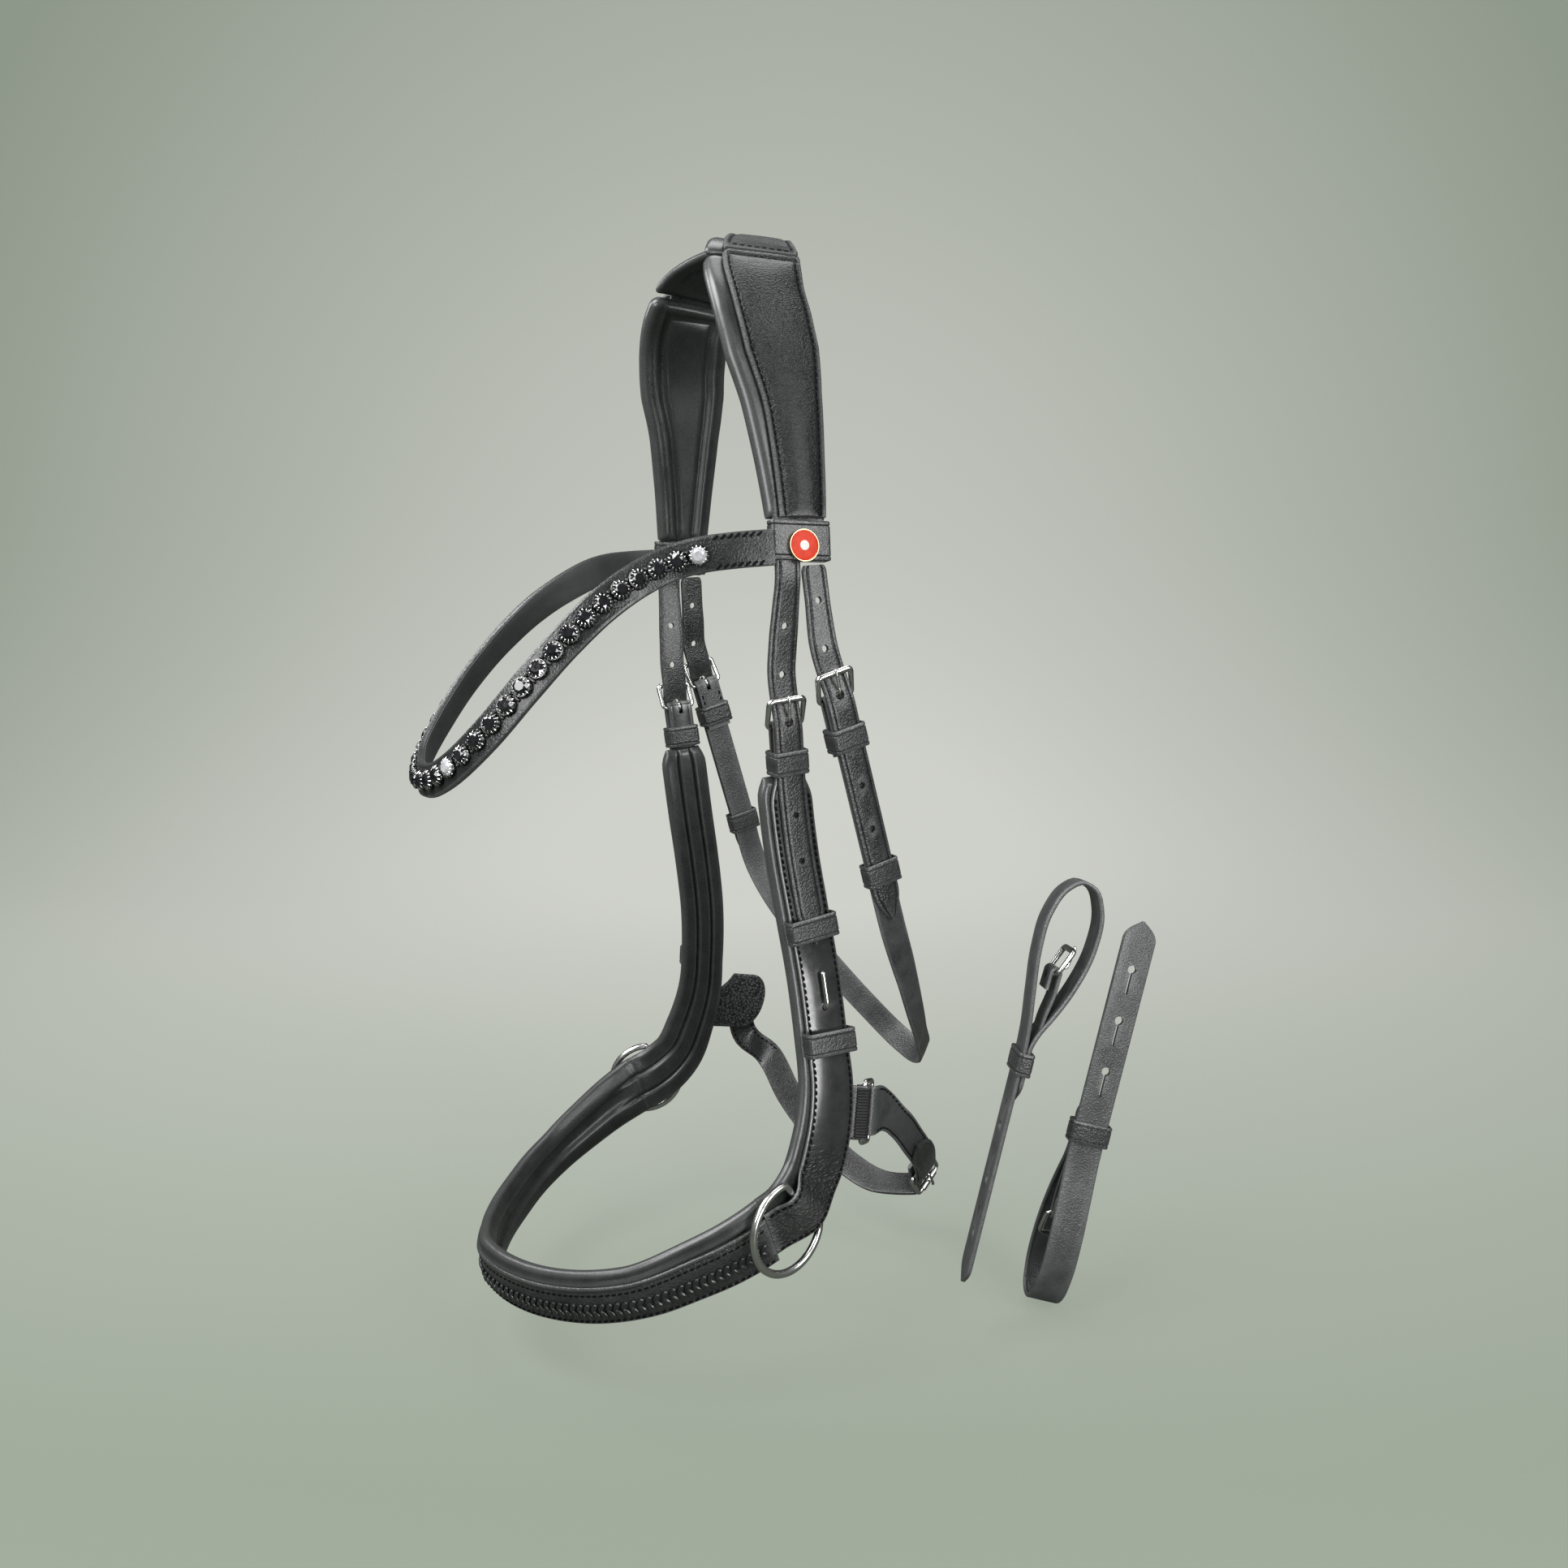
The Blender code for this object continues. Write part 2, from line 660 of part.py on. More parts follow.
def buckle(prefix, suffix, route, width, front_radius=FRONT_RADIUS, roller=0.0):
    """Frame and tongue on the bar at the start of a route; the frame lies ahead of the bar."""
    along, across, normal = route.axes(0.0)
    bar = route.point(0.0)

    def at(t, n, a=0.0):
        return bar + along * t + normal * n + across * a

    half = width / 2 + FRAME_PLAY + SIDE_RADIUS
    corner = 0.0016
    slope = Vector((-BUCKLE_REACH, BUCKLE_RISE)).normalized()
    span = math.hypot(BUCKLE_REACH, BUCKLE_RISE)
    outline = [(0.0, half - corner, BAR_RADIUS), (corner * 0.3, half - corner * 0.3, SIDE_RADIUS),
               (corner, half, SIDE_RADIUS), (span - corner, half, SIDE_RADIUS),
               (span - corner * 0.3, half - corner * 0.3, SIDE_RADIUS), (span, half - corner, front_radius)]
    loop = outline + [(d, -a, r) for d, a, r in reversed(outline)]
    points = [at(slope.x * d, slope.y * d, a) for d, a, r in loop]
    frame = wire(f"{prefix}_buckle_frame{suffix}", points, [r for d, a, r in loop], cyclic=True, sides=1)

    outer_front = front_radius + (TONGUE_PLAY + ROLLER_WALL if roller else 0.0)
    rest = BUCKLE_RISE + outer_front + CLEARANCE + TONGUE_RADIUS
    eye = [math.radians(angle) for angle in range(-185, 80, 33)]
    path = [(EYE_RADIUS * math.cos(angle), EYE_RADIUS * math.sin(angle)) for angle in eye]
    middle = BILLET_MID - 0.0007
    path += [(-0.0004, EYE_RADIUS + 0.0001), (-0.0021, EYE_RADIUS + 0.0008), (-0.0031, middle),
             (-0.0043, BILLET_OUT + 0.0004), (-0.0070, 0.55 * BILLET_OUT + 0.45 * rest),
             (-BUCKLE_REACH, rest), (-BUCKLE_REACH - 0.0022, rest - 0.0002)]
    tongue = wire(f"{prefix}_buckle_tongue{suffix}", [at(t, n) for t, n in path], TONGUE_RADIUS, sides=1)
    set_origin(tongue, bar)
    return frame, tongue


def billet_levels(front_radius=FRONT_RADIUS, roller=0.0):
    """Height of a billet's middle where it passes under the frame's front bar."""
    outer_front = front_radius + (TONGUE_PLAY + ROLLER_WALL if roller else 0.0)
    return BUCKLE_RISE - outer_front - CLEARANCE - BILLET_THICK / 2


def buckled_route(start_points, route, tip_at, outward, front_level):
    """A billet's route: down to the buckle, under the front bar, over the bar and on along the strap."""
    points = [Vector(p) for p in start_points]
    points.append(route.place(-2.0 * BUCKLE_REACH, front_level - 0.0012))
    points.append(route.place(-BUCKLE_REACH, front_level))
    points.append(route.place(0.0, BILLET_MID))
    points += [route.place(s, BILLET_MID) for s in route.run(0.006, tip_at)[1:]]
    return Route(points, outward)


def nearest(route, place):
    """The length along a route where it passes closest to a place."""
    trial = np.linspace(0.0, route.length, 4000)
    gaps = [(route.point(s) - place).length for s in trial]
    return float(trial[int(np.argmin(gaps))])


def sideways(place):
    return 1.0, 0.0, 0.0


def billet_holes(route, buckle_route, count_up, count_down):
    tongue_at = nearest(route, buckle_route.place(-0.0026, BILLET_MID - 0.0005))
    return [tongue_at + k * HOLE_PITCH for k in range(-count_up, count_down + 1)]


def headpiece():
    """The long strap under the crown that runs down both sides as the cheek billets."""
    half_root = BILLET_ROOT_WIDTH / 2
    half = BILLET_WIDTH / 2
    split = MIDDLE + SPLIT_AT + SPLIT_BELOW
    crown = CROWN.stations(CROWN.run(MIDDLE, split), 0.0, 2 * half_root)
    roots = [CROWN.place(split + step, 0.0, -half_root) for step in (0.0005, 0.006)]
    route = buckled_route([*roots, *CHEEK_BILLET_ROUTE], BAND, BILLET_TIP_AT, sideways, billet_levels())
    wide = table((0.0, half_root), (0.012, half_root), (0.035, half))
    billet = route.stations(route.run(0.0, route.length - TIP_LENGTH, (0.012, 0.035))[:-1], 0.0, wide)
    for s, width in tip(route.length, half):
        billet += route.stations([s], 0.0, width)
    left = crown + billet
    whole = [mirror_station(st) for st in reversed(left[1:])] + left
    obj = strap("headpiece_strap", whole, BILLET_THICK)
    marks = hole_marks(route, billet_holes(route, BAND, 2, 3), 0.0)
    flip = Matrix.Diagonal((-1.0, 1.0, 1.0, 1.0))
    marks += [(make, flip @ matrix @ flip) for make, matrix in marks]
    boolean(obj, cutter("headpiece_holes", marks), "DIFFERENCE")


def throat_billet():
    half_root = BILLET_ROOT_WIDTH / 2
    half = BILLET_WIDTH / 2
    pivot = Vector(THROAT_PIVOT)
    first = Vector(THROAT_BILLET_ROUTE[0])
    lead = (first - pivot).normalized()
    start = pivot - lead * half_root
    points = [start, pivot, *THROAT_BILLET_ROUTE]
    route = buckled_route(points, THROAT, THROAT_TIP_AT, sideways, billet_levels())
    stations = []
    for share in (0.0, 0.12, 0.4, 1.0):
        width = half_root * max(0.12, math.sqrt(1 - (1 - share) ** 2))
        stations += route.stations([share * half_root], 0.0, width)
    wide = table((half_root + 0.012, half_root), (half_root + 0.03, half))
    stations += route.stations(route.run(half_root, route.length - TIP_LENGTH)[1:-1], 0.0, wide)
    for s, width in tip(route.length, half):
        stations += route.stations([s], 0.0, width)
    obj = strap("throat_billet_left", stations, BILLET_THICK)
    boolean(obj, cutter("throat_billet_holes", hole_marks(route, billet_holes(route, THROAT, 2, 3), 0.0)),
            "DIFFERENCE")
    mirrored(set_origin(bake(obj), THROAT_PIVOT))


def crown_half_width(extra):
    wide = table(*CROWN_HALF_WIDTHS, (CROWN_END, CROWN_FOOT_WIDTH / 2))
    return lambda s: wide(abs(s - MIDDLE)) + extra


def crown_pieces():
    """Pads under the headpiece, which lies in a channel in them, and covers over it."""
    face = BILLET_THICK / 2
    core_half = BILLET_ROOT_WIDTH + KEEPER_PLAY
    channel_low = -face - COVER_SEAT

    def channel(name, start, end):
        stations = CROWN.stations(CROWN.run(start - 0.003, end + 0.003), channel_low + 0.003, core_half)
        obj = strap(name, stations, 0.006, None)
        PARTS.objects.unlink(obj)
        CUTTERS.objects.link(obj)
        obj.hide_render = True
        obj.display_type = "WIRE"
        return obj

    def places(start, end):
        return CROWN.run(start, end, (start + 0.004, end - 0.004))

    def rounded(start, end, extra):
        wide = crown_half_width(extra)
        ends = table((start, 0.86), (start + 0.004, 0.96), (start + 0.014, 1.0), (end - 0.014, 1.0),
                     (end - 0.004, 0.97), (end, 0.86))
        return lambda s: wide(s) * ends(s)

    drawn = table((POLL_HALF_LENGTH, COVER_DRAW), (DRAW_UNTIL, COVER_DRAW), (CROWN_END, 0.0))

    def cover_shift(s):
        return COVER_SHIFT + drawn(abs(s - MIDDLE))

    def cover_half(start, end):
        wide = rounded(start, end, -COVER_INSET)
        return lambda s: wide(s) - drawn(abs(s - MIDDLE))

    poll = (MIDDLE - POLL_HALF_LENGTH, MIDDLE + POLL_HALF_LENGTH)
    side = (MIDDLE + POLL_HALF_LENGTH + CROWN_SEAM, MIDDLE + CROWN_END)
    panels = (
        ("poll", "", poll, POLL_PAD_DEPTH, POLL_PUFF),
        ("crown", "_left", side, CROWN_PAD_DEPTH, CROWN_PUFF),
    )
    for name, suffix, (start, end), depth, puff in panels:
        stations = CROWN.stations(places(start, end), face, rounded(start, end, 0.0))
        pad = cushion(f"{name}_pad{suffix}", stations, depth + face, crown_profile, -1.0)
        boolean(pad, channel(f"{name}_channel", start, end), "DIFFERENCE")
        stations = CROWN.stations(places(start, end), CROWN_FACE, cover_half(start, end), cover_shift)
        thin = CROWN_COVER_THICK / (CROWN_COVER_THICK + puff)
        top = cushion(f"{name}_cover{suffix}", stations, CROWN_COVER_THICK + puff, cover_profile(thin), 1.0,
                      LEATHER, 4, thin)
        if suffix:
            mirrored(bake(pad))
            mirrored(bake(top))


def cover_profile(thin):
    """Thin at the sewn edges and puffed in the middle."""
    return lambda y: thin + (1 - thin) * max(0.0, 1 - y * y)


def browband():
    """The dipped strap with its folded loops, the chain of stones and the badges."""
    half = BROWBAND_WIDTH / 2
    band = strap("browband", BROW.stations(BROW.run(0.0, BROW.length), 0.0, half), BROWBAND_THICK)
    loop_at = MIDDLE + SPLIT_AT - 0.0005
    inner = rectangle(2 * (BILLET_ROOT_WIDTH + LOOP_PLAY), BILLET_THICK + 2 * LOOP_PLAY)
    outer = rounded_box(2 * (BILLET_ROOT_WIDTH + LOOP_PLAY + KEEPER_WALL),
                        BILLET_THICK + 2 * (LOOP_PLAY + KEEPER_WALL), 0.0022, 2)
    loops = []
    for side, name in ((1, "loop_left"), (-1, "loop_right")):
        matrix = CROWN.matrix(MIDDLE + side * (loop_at - MIDDLE))
        loops.append(plate(name, (outer, inner), LOOP_HEIGHT, matrix, LEATHER))
    face = BILLET_THICK / 2 + LOOP_PLAY + KEEPER_WALL + CLEARANCE
    turn = Matrix.Rotation(math.radians(-90), 4, "X")
    badge_matrix = CROWN.matrix(loop_at + CONCHO_DROP, face + CONCHO_THICK / 2) @ turn
    outline = circle(CONCHO_DIAMETER / 2, 20)
    badge = plate("browband_badge_left", (outline,), CONCHO_THICK, badge_matrix, ENAMEL)
    mirrored(badge)
    join(band, loops)

    level = BROWBAND_THICK / 2 + STONE_SEAT
    steps = int((BROW_MIDDLE - STONES_START) / STONE_PITCH)
    spots = [BROW_MIDDLE + k * STONE_PITCH for k in range(-steps, steps + 1)]
    chain = []
    for s in spots:
        for share in STONE_SHARES:
            wide = STONE_DIAMETER if abs(share) < STONE_SHARES[-1] else CHAIN_WIDTH
            chain += BROW.stations([s + share * STONE_PITCH], level + STONE_HEIGHT / 2, wide / 2)
    strap("browband_stones", chain, STONE_HEIGHT, STONE)


def strip_lift():
    """Height of the strip's middle: it swells over the bar of the ring."""
    over_bar = PAD_FACE + RING_SEAT + CLEARANCE + 2 * RING_WIRE + STRIP_THICK / 2
    rise = bump(RING_AT, RING_SWELL, over_bar - FOLD_MID)
    return lambda s: FOLD_MID + rise(s)


def cheek_half_width():
    half = BILLET_WIDTH / 2
    wide = CHEEK_STRIP_WIDTH / 2
    corner = CORNER_STRIP_WIDTH / 2
    return table((0.0, half), (FLARE_FROM, half), (FLARE_TO, wide), (BEND_FROM, wide), (BEND_TO, corner))


def hook_points():
    low = PAD_FACE - HOOK_WIRE
    high = STRIP_OUT + HOOK_STAND + HOOK_WIRE
    path = (
        (HOOK_FOOT, low), (0.0022, low), (0.0004, low + 0.0012), (0.0, FOLD_MID),
        (-0.0008, high - 0.0012), (-0.0028, high), (-HOOK_LENGTH, high),
    )
    return [BAND.place(HOOK_AT + t, n) for t, n in path]


def cheek():
    """Left cheek: strip, padding with its grooves, keepers, hook, ring and buckle; then the right one."""
    end = RING_AT + STRIP_PAST_RING
    swell = [RING_AT + share * RING_SWELL for share in (-1.0, -0.6, -0.3, 0.0, 0.3, 0.6, 1.0)]
    places = BAND.run(0.0, end, (FLARE_FROM, FLARE_TO, *swell))[1:]
    stations = fold_stations(BAND, BILLET_WIDTH / 2, FOLD_LEG)
    stations += BAND.stations(places, strip_lift(), cheek_half_width())
    strip = strap("cheek_strip_left", stations, STRIP_THICK)
    hook_hole = (cylinder_shape(HOOK_WIRE + HOOK_PLAY, 0.006), BAND.matrix(HOOK_AT, FOLD_MID)
                 @ Matrix.Rotation(math.radians(90), 4, "X"))
    boolean(strip, cutter("cheek_strip_cuts", chape_slot(BAND) + [hook_hole]), "DIFFERENCE")

    low = STRIP_IN - CLEARANCE
    fold_low = -STRIP_OUT - CLEARANCE
    upper = keeper("cheek_upper_keeper_left", BAND, UPPER_KEEPER_AT, BILLET_WIDTH / 2, fold_low,
                   BILLET_OUT + CLEARANCE)
    half = cheek_half_width()
    lower = keeper("cheek_lower_keeper_left", BAND, LOWER_KEEPER_AT, half(LOWER_KEEPER_AT), low,
                   BILLET_OUT + CLEARANCE)
    bit_high = STRIP_OUT + BIT_KEEPER_STAND
    bit = keeper("bit_keeper_left", BAND, BIT_KEEPER_AT, half(BIT_KEEPER_AT), low, bit_high)
    hook = wire("bit_hook_left", hook_points(), HOOK_WIRE)
    frame, tongue = buckle("cheek", "_left", BAND, BILLET_WIDTH)

    start = UPPER_KEEPER_AT + KEEPER_HEIGHT / 2 + CLEARANCE + 0.0005
    pad_half = table((start, 0.6 * CHEEK_PAD_WIDTH / 2), (start + 0.003, 0.9 * CHEEK_PAD_WIDTH / 2),
                     (start + 0.008, CHEEK_PAD_WIDTH / 2), (BEND_FROM, CHEEK_PAD_WIDTH / 2),
                     (RING_AT, CORNER_PAD_WIDTH / 2))
    pad_places = BAND.run(start, end, (start + 0.003, start + 0.008, *swell))
    pad = cushion("cheek_pad_left", BAND.stations(pad_places, PAD_FACE, pad_half, CHEEK_PAD_SHIFT),
                  CHEEK_PAD_DEPTH, crown_profile, -1.0)
    cuts = []
    for s in (LOWER_KEEPER_AT, BIT_KEEPER_AT):
        reach = 2 * (half(s) + KEEPER_PLAY + KEEPER_WALL + CLEARANCE)
        depth = 2 * (KEEPER_WALL + CLEARANCE)
        cuts.append((box_shape(reach, depth, KEEPER_HEIGHT + 4 * CLEARANCE), BAND.matrix(s, low)))
    foot = HOOK_FOOT + 0.004
    cuts.append((box_shape(2 * HOOK_WIRE + 0.001, 4 * HOOK_WIRE + 0.001, foot),
                 BAND.matrix(HOOK_AT + foot / 2 - 0.003, PAD_FACE)))
    cuts.append(chin_pocket())
    boolean(pad, cutter("cheek_pad_cuts", cuts), "DIFFERENCE")
    ring = nose_ring()
    for piece in (strip, upper, lower, bit, hook, frame, tongue, pad, ring):
        mirrored(bake(piece))


def chin_pocket():
    """Room in the cheek padding for the chin tab, which turns there under the strip."""
    deep = CHIN_TAB_THICK + 2 * CHIN_POCKET_PLAY
    ahead = 0.010
    behind = 0.030
    matrix = BAND.matrix(CHIN_TAB_AT, PAD_FACE, (behind - ahead) / 2)
    return box_shape(ahead + behind, 2 * deep, CHIN_TAB_HEIGHT + 2 * CHIN_POCKET_SWING), matrix


def nose_ring():
    """D ring: its straight bar lies across the cheek under the strip, its bow over the noseband."""
    along, across, normal = BAND.axes(RING_AT)
    bar_level = PAD_FACE + RING_SEAT + RING_WIRE
    bow_level = STRIP_OUT + NOSE_STRAP_THICK - STRIP_THICK + LACING_THICK + 2 * CLEARANCE + RING_WIRE
    centre = BAND.place(RING_AT, bar_level)
    half_bar = math.sqrt(RING_RADIUS**2 - RING_SETBACK**2)
    lean = Vector((RING_SETBACK + RING_RADIUS, bow_level - bar_level)).normalized()
    outward = along * lean.x + normal * lean.y
    start = math.atan2(half_bar, -RING_SETBACK)
    turns = 18
    points = []
    for k in range(turns + 1):
        angle = start - 2 * start * k / turns
        points.append(centre + outward * (RING_SETBACK + RING_RADIUS * math.cos(angle))
                      + across * (RING_ASIDE + RING_RADIUS * math.sin(angle)))
    ring = wire("nose_ring_left", points, RING_WIRE, cyclic=True)
    return set_origin(ring, centre)


def noseband():
    """Padding with two rolls, the strap sewn on it and the laced row, all narrower over the nose."""
    start = RING_AT + STRIP_PAST_RING + CLEARANCE
    end = BAND.length - start

    def tapered(at_corner, over_nose):
        shape = table((start, at_corner), (start + NOSE_TAPER, over_nose))
        return lambda s: shape(min(s, BAND.length - s))

    places = BAND.run(start, end)
    pad_half = tapered(CORNER_PAD_WIDTH / 2, NOSE_PAD_WIDTH / 2)
    pad_shift = tapered(CHEEK_PAD_SHIFT, NOSE_PAD_SHIFT)
    stations = BAND.stations(places, PAD_FACE, pad_half, pad_shift)
    cushion("nose_pad", stations, CHEEK_PAD_DEPTH, channel_profile, -1.0, columns=8)
    level = STRIP_IN + NOSE_STRAP_THICK / 2
    strap_half = tapered(CORNER_STRAP_WIDTH / 2, NOSE_STRAP_WIDTH / 2)
    strap_shift = tapered(CORNER_STRAP_SHIFT, NOSE_STRAP_SHIFT)
    strap("nose_strap", BAND.stations(places, level, strap_half, strap_shift), NOSE_STRAP_THICK, columns=2)
    level = STRIP_IN + NOSE_STRAP_THICK + CLEARANCE + LACING_THICK / 2
    lacing = BAND.run(start + LACING_INSET, end - LACING_INSET)
    lacing_shift = tapered(CORNER_STRAP_SHIFT + LACING_SHIFT, NOSE_STRAP_SHIFT + LACING_SHIFT)
    strap("nose_lacing", BAND.stations(lacing, level, LACING_WIDTH / 2, lacing_shift), LACING_THICK)


def throatlatch():
    half = BILLET_WIDTH / 2
    left = fold_stations(THROAT, half, FOLD_LEG + 0.004)
    left += THROAT.stations(THROAT.run(0.0, THROAT.length / 2)[1:], FOLD_MID, half)
    whole = left + [mirror_station(st) for st in reversed(left[:-1])]
    obj = strap("throatlatch_strap", whole, STRIP_THICK)
    slot = chape_slot(THROAT)
    flip = Matrix.Diagonal((-1.0, 1.0, 1.0, 1.0))
    slot += [(make, flip @ matrix @ flip) for make, matrix in slot]
    boolean(obj, cutter("throatlatch_slots", slot), "DIFFERENCE")
    frame, tongue = buckle("throat", "_left", THROAT, BILLET_WIDTH)
    fixed = keeper("throat_keeper_left", THROAT, THROAT_KEEPER_AT, half, -STRIP_OUT - CLEARANCE,
                   BILLET_OUT + CLEARANCE)
    runner = keeper("throat_runner_left", THROAT, THROAT_RUNNER_AT, half, STRIP_IN - KEEPER_PLAY,
                    BILLET_OUT + KEEPER_PLAY)
    set_origin(runner, THROAT.place(THROAT_RUNNER_AT))
    for piece in (frame, tongue, fixed, runner):
        mirrored(piece)


def wrap_stations(bar, lead, outward, across, radius, half):
    """A strap's turn round a bar: it arrives on the outward side along lead and leaves on the other side."""
    turns = 6
    reach = radius / math.cos(math.pi / turns / 2)
    stations = []
    for k in range(turns):
        angle = math.pi / 2 - math.pi * (k + 0.5) / turns
        spoke = lead * math.cos(angle) + outward * math.sin(angle)
        stations.append((bar + spoke * reach, across, half))
    return stations


def anchored(anchor, normal, reach):
    """Outward from the middle of the jaw, but square to a fitting near the place where the strap joins it."""
    def outward(place):
        share = min(1.0, 1.8 * max(0.0, 1 - (place - anchor).length / reach))
        return (place - Vector(JAW_CENTRE)).normalized() * (1 - share) + normal * share
    return outward


def chin_strap():
    """Tabs that turn in the cheeks, the link, the two straps and the roller buckle between them."""
    half = CHIN_WIDTH / 2
    tab_half = CHIN_TAB_HEIGHT / 2
    along, rear, outward = BAND.axes(CHIN_TAB_AT)
    up = -along
    pivot = BAND.place(CHIN_TAB_AT, PAD_FACE - CHIN_POCKET_PLAY - CHIN_TAB_THICK / 2)
    link_lead = (rear * math.cos(LINK_LEAN) - outward * math.sin(LINK_LEAN)).normalized()
    link_face = (rear * math.sin(LINK_LEAN) + outward * math.cos(LINK_LEAN)).normalized()
    bar_in = pivot + rear * CHIN_TAB_REACH
    bar_out = bar_in + link_lead * LINK_DEPTH

    wrap = LINK_WIRE + CLEARANCE + CHIN_TAB_THICK / 2
    near = [(pivot + rear * a, up, tab_half) for a in (-TAB_TONGUE, 0.2 * CHIN_TAB_REACH, 0.6 * CHIN_TAB_REACH)]
    near.append((bar_in - rear * TAB_LEG_FIRST + outward * wrap, up, tab_half))
    near += wrap_stations(bar_in, rear, outward, up, wrap, tab_half)
    near.append((bar_in - rear * TAB_LEG_FIRST - outward * wrap, up, tab_half))
    near.append((bar_in - rear * TAB_LEG_LAST - outward * wrap, up, tab_half))
    set_origin(strap("chin_tab_left", near, CHIN_TAB_THICK), pivot)

    tall = tab_half + FRAME_PLAY + LINK_WIRE
    soft = 0.0012
    outline = [(0.0, tall - soft), (soft, tall), (LINK_DEPTH - soft, tall), (LINK_DEPTH, tall - soft)]
    outline += [(d, -h) for d, h in reversed(outline)]
    wire("chin_link", [bar_in + link_lead * d + up * h for d, h in outline], LINK_WIRE, cyclic=True)

    points = [Vector(p) for p in CHIN_NEAR_ROUTE] + [bar_out + link_lead * 0.010, bar_out]
    route = Route(points, anchored(bar_out, link_face, 0.035))
    end = route.length
    wide = tab_half - 0.001
    near_half = table((0.0, half), (end - 0.030, half), (end - 0.008, wide))
    level = LINK_WIRE + CLEARANCE + STRIP_THICK / 2
    lift = table((0.0, FOLD_MID), (end - 0.015, FOLD_MID), (end, level))
    stations = fold_stations(route, half, CHIN_FOLD_LEG)
    stations += route.stations(route.run(0.0, end)[1:], lift, near_half)
    along_end, across_end, normal_end = route.axes(end)
    stations += wrap_stations(bar_out, along_end, normal_end, across_end, level, wide)
    for back in (0.0, 0.008):
        stations.append((bar_out - along_end * back - normal_end * level, across_end, wide))
    strip = strap("chin_strap_near", stations, STRIP_THICK)
    boolean(strip, cutter("chin_near_slot", chape_slot(route)), "DIFFERENCE")
    front = BAR_RADIUS
    buckle("chin", "", route, CHIN_WIDTH, front, 1.0)
    along_bar, across_bar, normal_bar = route.axes(0.0)
    roller_at = route.place(-BUCKLE_REACH, BUCKLE_RISE)
    inner = front + TONGUE_PLAY
    roller = plate("chin_roller", (circle(inner + ROLLER_WALL, 12), circle(inner, 12)), CHIN_WIDTH - 0.001,
                   frame_matrix(roller_at, normal_bar, along_bar, across_bar), STEEL)
    set_origin(roller, roller_at)
    far_chin_strap(route, billet_levels(front, 1.0), *(mirror_x(v) for v in (pivot, rear, outward, up)))


def far_chin_strap(near_route, front_level, pivot, rear, outward, up):
    """The far tab and the strap sewn on it, which runs under the jaw to the buckle."""
    half = CHIN_WIDTH / 2
    tab_half = CHIN_TAB_HEIGHT / 2
    round_half = FAR_TAB_HEIGHT / 2
    rise = round_half - tab_half
    outline = [(a, tab_half, 0.0) for a in (-TAB_TONGUE, FAR_TAB_NECK / 2, FAR_TAB_NECK)]
    for share, wide in FAR_TAB_LOBE:
        outline.append((share * FAR_TAB_REACH, round_half * wide, rise))
    tab = strap("chin_tab_right", [(pivot + rear * a + up * d, up, w) for a, w, d in outline], CHIN_TAB_THICK)
    set_origin(tab, pivot)

    seat = CHIN_TAB_THICK / 2 + CLEARANCE + BILLET_THICK / 2
    ends = [pivot + rear * a + outward * seat - up * d for a, d in FAR_STRAP_SEWN]
    points = [near_route.place(s, BILLET_MID) for s in reversed(near_route.run(0.006, CHIN_TIP_AT)[1:])]
    points += [near_route.place(0.0, BILLET_MID), near_route.place(-BUCKLE_REACH, front_level)]
    points.append(near_route.place(-1.8 * BUCKLE_REACH, front_level - 0.0016))
    points += [Vector(p) for p in CHIN_FAR_ROUTE] + ends
    route = Route(points, anchored(ends[1], outward, 0.080))
    stations = []
    for s, width in reversed(tip(0.0, half)):
        stations += route.stations([-s], 0.0, width)
    stations += route.stations(route.run(TIP_LENGTH, route.length)[1:], 0.0, half)
    strip = strap("chin_strap_far", stations, BILLET_THICK)
    hole = nearest(route, near_route.place(-0.0026, BILLET_MID - 0.0005))
    boolean(strip, cutter("chin_far_holes", hole_marks(route, [hole, hole + HOLE_PITCH], 0.0)), "DIFFERENCE")


def mirror_x(v):
    return Vector((-v.x, v.y, v.z))


